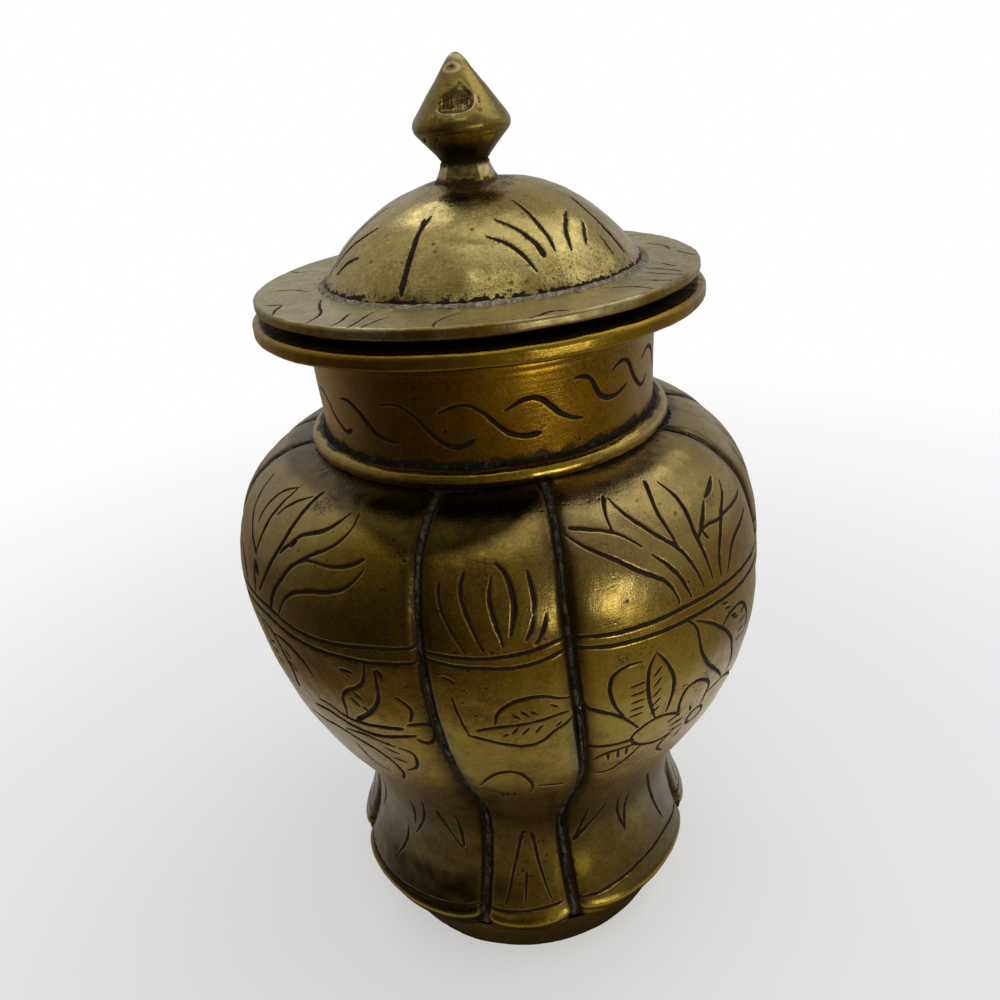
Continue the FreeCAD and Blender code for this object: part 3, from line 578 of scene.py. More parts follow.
def panel_piece(name, node, first_seam, second_seam, strokes, turn_strokes, narrow, seen):
    """Lobed panel between two seams, with its strokes cut in, its wear, and its painted shade and
    highlights.
    """
    narrow_cells, wide_cells, cells_along = seen_cells if seen else unseen_cells
    columns = (narrow_cells if narrow else wide_cells) * grid_step + 1
    rows = cells_along * grid_step + 1
    length_line = np.linspace(0, crest_length, rows)
    # the panel ends under the solder, short of each seam's middle line
    half_widths = table_value(seam_half_widths, length_line)
    turn = (seam_azimuth(second_seam, length_line) - seam_azimuth(first_seam, length_line)) % 360
    span = np.radians(turn) * crest_at(length_line)[0]
    lost = (half_widths * solder_overlap / span)[:, None]
    share = (lost + (1 - 2 * lost) * np.linspace(0, 1, columns)[None, :]).ravel()
    length = np.repeat(length_line, columns)
    set_back = narrow_set_back if narrow else 0.0
    points, azimuth = skin_places(first_seam, second_seam, share, length, set_back)
    normals = grid_normals(points, rows, columns)
    local = around(azimuth - turn_strokes)
    depth, groove = stroke_cuts(local, length, strokes,
                                lambda place: math.radians(1) * float(crest_at(place)[0]), len(name))
    lip = np.clip(1 - np.abs(groove - 0.80) / 0.22, 0, 1)
    # rounded edge at the foot's rim and dressed edges along the seams
    edge = np.minimum(share, 1 - share) * np.repeat(span, columns)
    from_solder = edge - np.repeat(half_widths * solder_cover, columns)
    clear_of_solder = smooth_step(-0.2, 0.5, from_solder)
    depth *= clear_of_solder
    groove *= clear_of_solder
    rim = np.clip(1 - length / rim_round, 0, 1)
    outward = -depth * panel_cut_share + lip * 0.03 * clear_of_solder + hand_unevenness(points)
    outward -= rim ** 2 * 0.9
    for place, place_length, rise, size in foot_bulges:
        gap = ((azimuth - place) * 0.8 / size) ** 2 + ((length - place_length) / size) ** 2
        outward += rise * np.exp(-gap)
    # the foot's rolled rim climbs towards the seams
    roll_length = 2.6 + 1.8 * np.abs(2 * share - 1) ** 2.5
    above_roll = length - roll_length
    below_roll = smooth_step(roll_length, roll_length - 1.6, length)
    outward += 0.42 * hill(above_roll, 0.5, 1.1) - 0.55 * below_roll
    outward -= np.clip(1 - from_solder / 1.9, 0, 1) ** 2 * 0.75
    piece, outer, inner_count = shell_piece(name, points, normals, outward, panel_wall, rows, columns)

    ragged = 0.5 * lumps(outer, 4.5, 21) + 0.3 * lumps(outer, 1.8, 22)
    streaks = lumps(np.stack([local * 0.6, length * 0.1, local * 0], axis=1), 0.9, 23)
    # grime beside the solder, and painted shade in the valley of each seam
    beside_seam = 0.8 * smooth_step(2.4, 0.0, from_solder + 0.35 * ragged)
    # painted dark reflection of the neck and bead just under the neck, with some brown patina
    under_neck = 0.6 * smooth_step(crest_length - 9.0, crest_length - 1.0,
                                   length + 1.6 * ragged + 1.5 * streaks)
    stain_and_shade = np.maximum(beside_seam, under_neck)
    for place, place_length, size, strength in stain_spots:
        away = np.hypot((local - place) * math.radians(60), length - place_length) + ragged
        stain_and_shade = np.maximum(stain_and_shade, strength * smooth_step(size, size * 0.4, away))
    round_front = around(azimuth)
    # painted shade on the shoulder: the dark reflection of the neck and bead, with some brown patina
    below_shade_edge = length - table_value(painted_shade_edges, round_front) + 0.4 * ragged
    painted_shade = table_value(painted_shade_strengths, round_front) * smooth_step(-1.7, 1.7, below_shade_edge)
    # painted shade on the foot, darkest low on the front left: the reflected contact shadow
    foot_painted_shade = table_value(foot_painted_shades, round_front) * smooth_step(49, 33, length + 2.0 * ragged)
    foot_painted_shade = np.maximum(foot_painted_shade, 0.95 * smooth_step(24, 13, length) * smooth_step(-8, -14, round_front)
                           * smooth_step(-80, -50, round_front))
    # painted highlights on the foot: they lift the painted shade and brighten the rubbed brass
    foot_painted_highlight = np.zeros(len(length))
    for place, place_length, spread, reach, strength in painted_highlight_spots:
        bright = strength * spot(round_front, place, spread, length, place_length, reach)
        foot_painted_highlight = np.maximum(foot_painted_highlight, bright)
    painted_shade = np.maximum(painted_shade, np.clip(foot_painted_shade - foot_painted_highlight, 0, 1))
    # painted shade beside the seams, above the foot
    painted_shade = np.maximum(painted_shade, 0.72 * smooth_step(4.2, 0.3, from_solder) * smooth_step(20, 34, length))
    # rubbed brass on the foot's worn ridge, plus the painted highlights
    rubbed = np.maximum(0.8 * hill(above_roll, 0.4, 0.7), np.clip(1.3 * foot_painted_highlight - 0.4, 0, 1))
    side_haze = np.where(round_front > 0, smooth_step(-6, 24, round_front),
                         smooth_step(22, 52, -round_front))
    dulled = np.maximum(0.9 * smooth_step(24, 62, np.abs(round_front - 8)),
                        0.8 * smooth_step(102, 128, length) * side_haze)
    dulled = np.clip(dulled + 0.15 * lumps(points, 22, 24), 0, 1)
    for shade, values, inside in (("groove", groove, 0), ("rubbed", rubbed, 0), ("dulled", dulled, 0),
                                  ("painted_shade", painted_shade, 0), ("stain_and_shade", stain_and_shade, 0.9)):
        set_shade(piece, shade, np.concatenate([values, np.full(inner_count, inside)]))
    finish_piece(piece, "panel_brass", "jar", [node], 60)


def seam_piece(name, node, seam):
    """Strip of rough solder that fills the valley between two panels."""
    rows = 72 * grid_step + 1
    columns = 2 * grid_step + 1
    length_line = np.linspace(0, crest_length, rows)
    half = table_value(seam_half_widths, length_line) * 1.4
    radius, height = crest_at(length_line)
    offset = np.linspace(-1, 1, columns)
    turn = np.radians(seam_azimuth(seam, length_line)[:, None]
                      + np.degrees(half / radius)[:, None] * offset[None, :])
    sunk = seam_depth_at(height)[:, None] + 0.32 + 0.75 * offset[None, :] ** 2
    r = radius[:, None] - sunk - eased(radius, height)[:, None]
    z = np.repeat(height[:, None], columns, axis=1)
    points = np.stack([r * np.sin(turn), -r * np.cos(turn), z], axis=2).reshape(-1, 3)
    rough = 0.09 * lumps(points, 2.6, 31) + 0.05 * lumps(points, 1.1, 32) + 0.12 * lumps(points, 9, 33)
    rim = np.clip(1 - np.repeat(length_line, columns) / rim_round, 0, 1)
    outward = rough - rim ** 2 + hand_unevenness(points)
    piece, _, inner_count = shell_piece(name, points, grid_normals(points, rows, columns), outward,
                                        panel_wall * 0.7, rows, columns)
    flank = np.tile(np.abs(offset), rows)
    set_shade(piece, "stain_and_shade", np.concatenate([smooth_step(0.25, 0.75, flank), np.ones(inner_count)]))
    finish_piece(piece, "seam_solder", "jar", [node], 80)


fine_steps = 720
weld_gap = 0.02


def turned(name, outline, steps=fine_steps, closed=True):
    """Piece spun from an outline of (radius, height) points, closed or ending on the axis."""
    count = len(outline)
    edges = [(index, (index + 1) % count) for index in range(count if closed else count - 1)]
    piece = new_object(name, [(r, 0.0, z) for r, z in outline], [], edges)
    choose(piece)
    turning = piece.modifiers.new("turning", "SCREW")
    turning.axis = "Z"
    turning.angle = 2 * math.pi
    turning.steps = turning.render_steps = steps
    turning.use_merge_vertices = True
    turning.merge_threshold = weld_gap * MM
    bpy.ops.object.modifier_apply(modifier="turning")
    bpy.ops.object.mode_set(mode="EDIT")
    bpy.ops.mesh.select_all(action="SELECT")
    bpy.ops.mesh.remove_doubles(threshold=weld_gap * MM)
    bpy.ops.mesh.normals_make_consistent(inside=False)
    bpy.ops.object.mode_set(mode="OBJECT")
    return piece


def vertex_values(piece, kind):
    values = np.empty(len(piece.data.vertices) * 3)
    piece.data.vertices.foreach_get(kind, values)
    return values.reshape(-1, 3)


def mesh_points(piece):
    return vertex_values(piece, "co") / MM


def mesh_normals(piece):
    return vertex_values(piece, "normal")


def move_points(piece, points):
    piece.data.vertices.foreach_set("co", (np.asarray(points) * MM).ravel())
    piece.data.update()


def dense(outline, step, close=True):
    """Outline with points added so that none is further than the step from the next."""
    result = []
    outline = list(outline) + ([outline[0]] if close else [])
    for (r0, z0), (r1, z1) in zip(outline, outline[1:]):
        count = max(1, math.ceil(math.hypot(r1 - r0, z1 - z0) / step))
        result += [(r0 + (r1 - r0) * k / count, z0 + (z1 - z0) * k / count) for k in range(count)]
    return result if close else result + [outline[-1]]


def arc(radius, height, size, start, end, count):
    """Points of a rounded corner about its centre, from one slope to another."""
    return [(radius + size * math.cos(math.radians(start + (end - start) * k / count)),
             height + size * math.sin(math.radians(start + (end - start) * k / count)))
            for k in range(count + 1)]


def azimuth_of(points):
    return np.degrees(np.arctan2(points[:, 0], -points[:, 1]))


def radius_of(points):
    return np.hypot(points[:, 0], points[:, 1])


# Materials. Each effect is a node group, built once, and every material places it with its own values.
def add_node(tree, kind, **settings):
    """New node of a tree, with its settings."""
    made = tree.nodes.new(kind)
    for name, value in settings.items():
        setattr(made, name, value)
    return made


def feed(tree, socket, value):
    """Link a socket to an output, or set its plain value."""
    if isinstance(value, bpy.types.NodeSocket):
        tree.links.new(value, socket)
    else:
        socket.default_value = value


def feed_all(tree, node, values):
    """Set several of a node's sockets, given by name."""
    for name, value in values.items():
        feed(tree, node.inputs[name], value)


def noise(tree, place, scale, detail, roughness, distortion=0.0):
    made = add_node(tree, "ShaderNodeTexNoise")
    feed_all(tree, made, {"Vector": place, "Scale": scale, "Detail": detail, "Roughness": roughness,
                          "Distortion": distortion})
    return made.outputs["Fac"]


def remap(tree, value, low, high, to_low=0.0, to_high=1.0, smooth=True):
    """A value taken from one range to another, softly at the ends or along a straight line."""
    made = add_node(tree, "ShaderNodeMapRange", interpolation_type="SMOOTHSTEP" if smooth else "LINEAR")
    feed_all(tree, made, {"Value": value, "From Min": low, "From Max": high, "To Min": to_low,
                          "To Max": to_high})
    return made.outputs["Result"]


def calc(tree, operation, first, second=0.0, clamp=False):
    made = add_node(tree, "ShaderNodeMath", operation=operation, use_clamp=clamp)
    feed(tree, made.inputs[0], first)
    feed(tree, made.inputs[1], second)
    return made.outputs[0]


def plus(tree, first, second, clamp=False):
    return calc(tree, "ADD", first, second, clamp)


def minus(tree, first, second, clamp=False):
    return calc(tree, "SUBTRACT", first, second, clamp)


def times(tree, first, second, clamp=False):
    return calc(tree, "MULTIPLY", first, second, clamp)


def mixed(tree, first, first_share, second, second_share):
    """Sum of two values, each with its share."""
    return plus(tree, times(tree, first, first_share), times(tree, second, second_share))


def blend(tree, factor, first, second, kind="MIX"):
    made = add_node(tree, "ShaderNodeMix", data_type="RGBA", blend_type=kind)
    feed_all(tree, made, {"Factor": factor, "A": first, "B": second})
    return made.outputs["Result"]


def stretched(tree, place, scale, turn=(0, 0, 0)):
    """Places turned and scaled, for streaks."""
    made = add_node(tree, "ShaderNodeMapping")
    feed(tree, made.inputs["Vector"], place)
    made.inputs["Rotation"].default_value = turn
    made.inputs["Scale"].default_value = scale
    return made.outputs["Vector"]


def object_place(tree):
    return add_node(tree, "ShaderNodeTexCoord").outputs["Object"]


def painted(tree, name):
    """A value that set_shade has stored on the mesh."""
    return add_node(tree, "ShaderNodeAttribute", attribute_name=name).outputs["Fac"]


def distance(tree, place=None):
    """Distance of a place from the origin."""
    made = add_node(tree, "ShaderNodeVectorMath", operation="LENGTH")
    feed(tree, made.inputs[0], place or object_place(tree))
    return made.outputs["Value"]


def new_group(name, inputs, outputs):
    """Empty node group with named sockets: (name, kind, value)."""
    tree = bpy.data.node_groups.new(name, "ShaderNodeTree")
    for label, kind, value in inputs:
        socket = tree.interface.new_socket(label, in_out="INPUT", socket_type=kind)
        socket.default_value = value
    for label, kind in outputs:
        tree.interface.new_socket(label, in_out="OUTPUT", socket_type=kind)
    entry = tree.nodes.new("NodeGroupInput")
    leave = tree.nodes.new("NodeGroupOutput")
    return tree, entry.outputs, leave.inputs


number = "NodeSocketFloat"
colour = "NodeSocketColor"
brass_tone = (0.4, 0.3, 0.1, 1)


def build_tarnish():
    """Brass tone: blotches of tarnish, worn pale patches, mottling and fine grain."""
    tree, given, result = new_group(
        "brass_tarnish",
        [("Brass", colour, brass_tone), ("Tarnish", colour, (0.2, 0.14, 0.04, 1)),
         ("Worn", colour, (0.6, 0.5, 0.2, 1)), ("Tarnish Amount", number, 0.5),
         ("Worn Amount", number, 0.4), ("Roughness", number, 0.3)],
        [("Color", colour), ("Roughness", number), ("Height", number)])
    place = object_place(tree)
    cloud = noise(tree, place, 34.0, 4.0, 0.6, 0.6)
    mottle = noise(tree, place, 240.0, 6.0, 0.72, 0.4)
    speck = noise(tree, place, 1100.0, 4.0, 0.7)
    grain = noise(tree, place, 2400.0, 2.0, 0.6)
    tarnish = remap(tree, mixed(tree, cloud, 0.6, mottle, 0.4), 0.40, 0.60)
    worn = remap(tree, mixed(tree, speck, 0.75, cloud, 0.25), 0.50, 0.66)
    tone = blend(tree, times(tree, tarnish, given["Tarnish Amount"]), given["Brass"], given["Tarnish"])
    tone = blend(tree, times(tree, worn, given["Worn Amount"]), tone, given["Worn"])
    tone = blend(tree, 1.0, tone, remap(tree, grain, 0.3, 0.7, 0.87, 1.11, False), "MULTIPLY")
    tone = blend(tree, 1.0, tone, remap(tree, speck, 0.28, 0.44, 0.52, 1.0), "MULTIPLY")
    feed(tree, result["Color"], tone)
    rough = plus(tree, given["Roughness"], remap(tree, mottle, 0.35, 0.7, -0.05, 0.09, False))
    rough = plus(tree, rough, remap(tree, grain, 0.35, 0.7, -0.03, 0.07, False))
    feed(tree, result["Roughness"], rough)
    feed(tree, result["Height"], mixed(tree, speck, 0.7, grain, 0.5))
    return tree


def build_pits():
    """Casting pits and dark specks, gathered in patches."""
    tree, given, result = new_group(
        "casting_pits", [("Color", colour, brass_tone), ("Amount", number, 0.5), ("Scale", number, 420.0)],
        [("Color", colour), ("Pit", number)])
    place = object_place(tree)
    cells = add_node(tree, "ShaderNodeTexVoronoi", feature="F1")
    feed(tree, cells.inputs["Vector"], place)
    feed(tree, cells.inputs["Scale"], given["Scale"])
    patches = remap(tree, noise(tree, place, 75.0, 3.0, 0.6), 0.40, 0.62)
    dot = remap(tree, cells.outputs["Distance"], 0.12, 0.30, 1.0, 0.0)
    chosen = remap(tree, noise(tree, place, 330.0, 2.0, 0.5), 0.48, 0.62)
    pit = times(tree, times(tree, dot, chosen), times(tree, patches, given["Amount"]), True)
    feed(tree, result["Color"], blend(tree, pit, given["Color"], (0.045, 0.03, 0.014, 1)))
    feed(tree, result["Pit"], pit)
    return tree


def build_grime_and_painted_light():
    """Black grime in cut lines, stain and painted shade, rubbed brass and a painted highlight along each
    cut's edge.
    """
    tree, given, result = new_group(
        "cut_grime_and_painted_light",
        [("Color", colour, brass_tone), ("Roughness", number, 0.3), ("Groove", number, 0.0),
         ("Rubbed", number, 0.0), ("Stain", number, 0.0), ("Lip Amount", number, 0.3),
         ("Rubbed Color", colour, (0.6, 0.45, 0.12, 1)), ("Dulled", number, 0.0),
         ("Dull Color", colour, (0.34, 0.26, 0.12, 1)), ("Film", number, 0.0)],
        [("Color", colour), ("Roughness", number), ("Metallic", number)])
    place = object_place(tree)
    ragged = noise(tree, place, 900.0, 4.0, 0.7)
    patchy = noise(tree, place, 210.0, 4.0, 0.65)
    fine = noise(tree, place, 1900.0, 3.0, 0.65)
    haze = times(tree, given["Dulled"], remap(tree, patchy, 0.3, 0.7, 0.75, 1.0), True)
    dull = blend(tree, 0.35, given["Dull Color"], given["Color"])
    tone = blend(tree, haze, given["Color"], dull)
    # painted shade: a dark brown that stands in for shade and dark reflections
    painted_shade = times(tree, given["Film"], remap(tree, patchy, 0.3, 0.7, 0.92, 1.06), True)
    tone = blend(tree, painted_shade, tone, (0.024, 0.016, 0.003, 1))
    tone = blend(tree, times(tree, given["Rubbed"], remap(tree, patchy, 0.3, 0.6, 0.6, 1.0), True),
                 tone, given["Rubbed Color"])
    # painted highlight: a pale line along the edge of each cut, where its burr would catch the light
    lip = times(tree, remap(tree, given["Groove"], 0.62, 0.86), given["Lip Amount"], True)
    lip = times(tree, lip, remap(tree, patchy, 0.38, 0.60), True)
    tone = blend(tree, lip, tone, (0.62, 0.49, 0.2, 1))
    dots = plus(tree, remap(tree, fine, 0.3, 0.7, -0.34, 0.34, False),
                remap(tree, patchy, 0.3, 0.7, -0.18, 0.18, False))
    # dark stain: real stains and grime, and the painted shade that some pieces store with them
    stain_and_shade = times(tree, remap(tree, plus(tree, given["Stain"], dots), 0.30, 0.85), 0.94)
    tone = blend(tree, stain_and_shade, tone, (0.040, 0.026, 0.009, 1))
    edge = plus(tree, given["Groove"], remap(tree, ragged, 0.3, 0.7, -0.05, 0.05, False))
    cut = times(tree, remap(tree, edge, 0.92, 1.06), 0.97)
    tone = blend(tree, cut, tone, (0.016, 0.010, 0.004, 1))
    feed(tree, result["Color"], tone)
    rough = plus(tree, given["Roughness"], times(tree, stain_and_shade, 0.16))
    feed(tree, result["Roughness"], plus(tree, rough, times(tree, cut, 0.25), True))
    metal = minus(tree, 1.0, times(tree, cut, 0.6))
    feed(tree, result["Metallic"], minus(tree, metal, times(tree, stain_and_shade, 0.3), True))
    return tree


def build_scratches():
    """Rubbing marks: fine streaks in two crossing ways, or round the jar where it was turned."""
    tree, given, result = new_group(
        "rubbing_marks", [("Turned", number, 0.0)], [("Height", number), ("Streak", number)])
    place = object_place(tree)
    first = noise(tree, stretched(tree, place, (2400, 2400, 140), (0.5, 0.25, 0.1)), 1.0, 3.0, 0.6)
    second = noise(tree, stretched(tree, place, (160, 160, 2600), (0.35, -0.5, 0.6)), 1.0, 3.0, 0.6)
    turned_lines = noise(tree, stretched(tree, place, (30, 30, 3200)), 1.0, 3.0, 0.65)
    height = blend(tree, given["Turned"], mixed(tree, first, 0.5, second, 0.5), turned_lines)
    feed(tree, result["Height"], height)
    feed(tree, result["Streak"], remap(tree, height, 0.52, 0.68))
    return tree


tarnish_group = build_tarnish()
pits_group = build_pits()
grime_and_painted_light_group = build_grime_and_painted_light()
scratch_group = build_scratches()


def place_group(tree, group, **values):
    """A node group with its values; an underscore stands for the blank in a socket's name."""
    made = add_node(tree, "ShaderNodeGroup", node_tree=group)
    feed_all(tree, made, {name.replace("_", " "): value for name, value in values.items()})
    return made.outputs


def new_paint(name):
    """New material, its tree and its shader."""
    made = bpy.data.materials.new(name)
    made.use_nodes = True
    return made, made.node_tree, made.node_tree.nodes["Principled BSDF"]


def set_relief(tree, shader, height, strength, distance):
    """Fine relief of the surface, and the little gloss that old metal has."""
    shader.inputs["Specular IOR Level"].default_value = 0.12
    relief = add_node(tree, "ShaderNodeBump")
    relief.inputs["Strength"].default_value = strength
    relief.inputs["Distance"].default_value = distance
    feed(tree, relief.inputs["Height"], height)
    feed(tree, shader.inputs["Normal"], relief.outputs["Normal"])


def brass_material(name, brass, tarnish, worn, tarnish_amount, worn_amount, roughness, pits, turned_share,
                   bump, pit_scale=420.0, rubbed=(0.46, 0.335, 0.045), dull=(0.36, 0.275, 0.135)):
    """Old brass with its own tone, wear and amount of grime."""
    material, tree, shader = new_paint(name)
    tone = place_group(tree, tarnish_group, Brass=(*brass, 1), Tarnish=(*tarnish, 1), Worn=(*worn, 1),
                       Tarnish_Amount=tarnish_amount, Worn_Amount=worn_amount, Roughness=roughness)
    marks = place_group(tree, scratch_group, Turned=turned_share)
    streaked = blend(tree, times(tree, marks["Streak"], 0.22), tone["Color"], (*worn, 1))
    pitted = place_group(tree, pits_group, Color=streaked, Amount=pits, Scale=pit_scale)
    # this lays the grime, the painted shade and the painted highlight along the cuts' edges
    grime_and_painted_light = place_group(tree, grime_and_painted_light_group, Color=pitted["Color"], Roughness=tone["Roughness"],
                         Groove=painted(tree, "groove"), Rubbed=painted(tree, "rubbed"),
                         Stain=painted(tree, "stain_and_shade"), Lip_Amount=0.2, Rubbed_Color=(*rubbed, 1),
                         Dulled=painted(tree, "dulled"), Dull_Color=(*dull, 1), Film=painted(tree, "painted_shade"))
    for socket, result in (("Base Color", "Color"), ("Roughness", "Roughness"), ("Metallic", "Metallic")):
        feed(tree, shader.inputs[socket], grime_and_painted_light[result])
    height = mixed(tree, tone["Height"], 0.5, marks["Height"], 0.5)
    height = minus(tree, height, times(tree, pitted["Pit"], 0.8))
    set_relief(tree, shader, height, bump, 0.0002)
    return material


def build_dross():
    """Solder: dull grey lumps, darker in the hollows and brighter where they were rubbed."""
    tree, given, result = new_group(
        "solder_dross", [("Hollow", colour, (0.02, 0.02, 0.02, 1)), ("Crest", colour, (0.2, 0.2, 0.2, 1)),
                         ("Scale", number, 500.0), ("Rubbed", number, 0.5), ("Stain", number, 0.0)],
        [("Color", colour), ("Roughness", number), ("Height", number)])
    place = object_place(tree)
    coarse = noise(tree, stretched(tree, place, (1, 1, 0.45)), given["Scale"], 5.0, 0.7, 0.6)
    fine = noise(tree, place, 2200.0, 3.0, 0.6)
    crest = remap(tree, coarse, minus(tree, 0.66, times(tree, given["Rubbed"], 0.3)), 0.76)
    crest = times(tree, crest, minus(tree, 1.0, times(tree, given["Stain"], 0.9)), True)
    tone = blend(tree, crest, given["Hollow"], given["Crest"])
    tone = blend(tree, 1.0, tone, remap(tree, fine, 0.3, 0.7, 0.7, 1.25, False), "MULTIPLY")
    feed(tree, result["Color"], tone)
    feed(tree, result["Roughness"], remap(tree, crest, 0.0, 1.0, 0.7, 0.42, False))
    feed(tree, result["Height"], plus(tree, coarse, times(tree, fine, 0.3)))
    return tree


dross_group = build_dross()


def solder_material(name, hollow, crest, scale, rubbed, metallic):
    """Old solder with its own tones and size of lumps."""
    material, tree, shader = new_paint(name)
    dross = place_group(tree, dross_group, Hollow=(*hollow, 1), Crest=(*crest, 1), Scale=scale,
                        Rubbed=rubbed, Stain=painted(tree, "stain_and_shade"))
    feed(tree, shader.inputs["Base Color"], dross["Color"])
    feed(tree, shader.inputs["Roughness"], dross["Roughness"])
    shader.inputs["Metallic"].default_value = metallic
    set_relief(tree, shader, dross["Height"], 0.5, 0.0004)
    return material


# Brasses: tone of the brass, of its tarnish and where it is worn; then amount of tarnish, amount of wear,
# roughness, pits, share of turning marks and strength of the relief; then what differs from the usual
brasses = {
    "panel_brass": ((0.37, 0.254, 0.034), (0.19, 0.106, 0.012), (0.52, 0.42, 0.16),
                    (0.75, 0.30, 0.25, 1.0, 0.0, 0.48), {"dull": (0.35, 0.285, 0.16), "pit_scale": 560.0}),
    "neck_brass": ((0.40, 0.222, 0.012), (0.18, 0.085, 0.006), (0.50, 0.36, 0.10),
                   (0.65, 0.30, 0.24, 0.7, 0.8, 0.40),
                   {"rubbed": (0.34, 0.225, 0.03), "dull": (0.46, 0.385, 0.23)}),
    "bead_brass": ((0.42, 0.285, 0.035), (0.24, 0.14, 0.014), (0.55, 0.43, 0.16),
                   (0.55, 0.30, 0.20, 0.3, 0.3, 0.22), {}),
    "base_brass": ((0.46, 0.32, 0.042), (0.22, 0.135, 0.018), (0.58, 0.46, 0.15),
                   (0.75, 0.40, 0.30, 0.9, 0.5, 0.45), {}),
    # the lid's and dome's paler, greyer brass is partly a painted reflection of the bright light overhead
    "lid_brass": ((0.62, 0.535, 0.29), (0.38, 0.31, 0.155), (0.74, 0.67, 0.43),
                  (0.8, 0.45, 0.32, 0.6, 0.0, 0.32), {"rubbed": (0.22, 0.15, 0.022)}),
    "dome_brass": ((0.54, 0.425, 0.150), (0.30, 0.22, 0.070), (0.68, 0.58, 0.30),
                   (0.75, 0.45, 0.21, 0.9, 0.0, 0.32), {}),
    "finial_brass": ((0.29, 0.218, 0.058), (0.145, 0.098, 0.020), (0.45, 0.365, 0.16),
                     (0.65, 0.35, 0.25, 0.6, 0.0, 0.28), {"rubbed": (0.66, 0.53, 0.34)}),
    # near-black brass for the lid's seat ring: painted shade in the gap between the lid and the mouth
    "seat_painted_shade_brass": ((0.030, 0.020, 0.008), (0.012, 0.008, 0.004), (0.06, 0.04, 0.015),
                  (0.8, 0.2, 0.6, 0.2, 0.0, 0.4), {}),
}
# Solders: tone of the hollows and of the crests, scale of the lumps, how rubbed and how metallic
solders = {
    "seam_solder": ((0.020, 0.016, 0.009), (0.18, 0.16, 0.11), 620.0, 0.9, 0.45),
    "grey_solder": ((0.014, 0.011, 0.007), (0.10, 0.092, 0.07), 800.0, 0.5, 0.4),
    "pale_solder": ((0.16, 0.14, 0.09), (0.50, 0.46, 0.34), 900.0, 1.0, 0.4),
}
materials = {name: brass_material(name, *tones, *amounts, **others)
             for name, (*tones, amounts, others) in brasses.items()}
materials.update({name: solder_material(name, *values) for name, values in solders.items()})

# Sizes of the turned pieces
neck_top = 166.5
neck_foot_radius = 39.2
neck_top_radius = 40.2
neck_wall = 2.0
neck_low = 135.0
bead_middle = 140.5
bead_half = 2.1
bead_crown = 40.7
mouth_radius = 51.2
mouth_top = 170.0
flange_under = 172.2
flange_top = 174.7
flange_radius = 50.0
flange_bore = 31.0
dome_foot_radius = 36.0
dome_rise = 19.6
dome_offset = 1.6
dome_wall = 1.4
dome_swell = 0.6
dome_front_pull = 0.9
dome_ball = (dome_foot_radius ** 2 + dome_rise ** 2) / (2 * dome_rise)
dome_centre = flange_top + dome_rise - dome_ball
dome_top = dome_centre + dome_ball
tang_radius = 2.5

# Engraved strokes of the lid: (azimuth, length up the dome from its foot) and (azimuth, radius)
dome_strokes = (
    ("even", 1.7, (-26.2, 20.2, -26.9, 17, -27.1, 13, -27, 10, -26.8, 6, -26.4, 2.4)),
    ("lens", 0.9, (-25.2, 21.4, -26.4, 18.6)), ("lens", 0.9, (-28.6, 20.6, -27.2, 18)),
    ("even", 1.3, (71.6, 20.6, 68, 18, 65.4, 14, 64.4, 10, 65, 4.2)),
    ("even", 0.9, (-77.4, 22.4, -77, 16, -76.6, 10, -76, 2.6)),
    ("even", 1.5, (153, 20, 153.4, 12, 152.6, 3)),
    ("lens", 1.2, (4.8, 14.5, 12, 12.5, 17, 9.5, 20.3, 5.2)),
    ("tail", 1.6, (10.2, 19.1, 17, 16.5, 21, 14, 24, 11, 25.2, 8.2)),
    ("lens", 1.2, (25.8, 24.8, 28.4, 20.5, 29.6, 16, 30.4, 12, 30, 8.8)),
    ("lens", 1.2, (50.6, 17.5, 44, 15, 40, 12.5, 37.2, 8.2)),
    ("lens", 1.0, (53.3, 13.5, 49, 11.5, 45.2, 8.6)), ("even", 0.5, (56, 9.2, 55.6, 4.8)),
    ("lens", 1.0, (-57, 17, -64, 13.5, -70, 10, -73.4, 5.6)),
    ("lens", 1.0, (-56.4, 9.5, -63, 7.5, -67.4, 4.5)),
    ("lens", 1.1, (-111, 19, -109, 15, -104, 11, -98, 5, -94, 2.5)),
    ("lens", 1.1, (104, 18, 110, 14, 114, 9, 116, 5)), ("lens", 1.1, (118, 21, 122, 15, 124, 9)),
    ("lens", 1.1, (200, 14, 207, 12, 212, 9, 215, 5)), ("lens", 1.1, (188, 19, 196, 16, 201, 13, 204, 8)),
    ("lens", 1.1, (228, 17, 222, 14, 219, 8)),
)
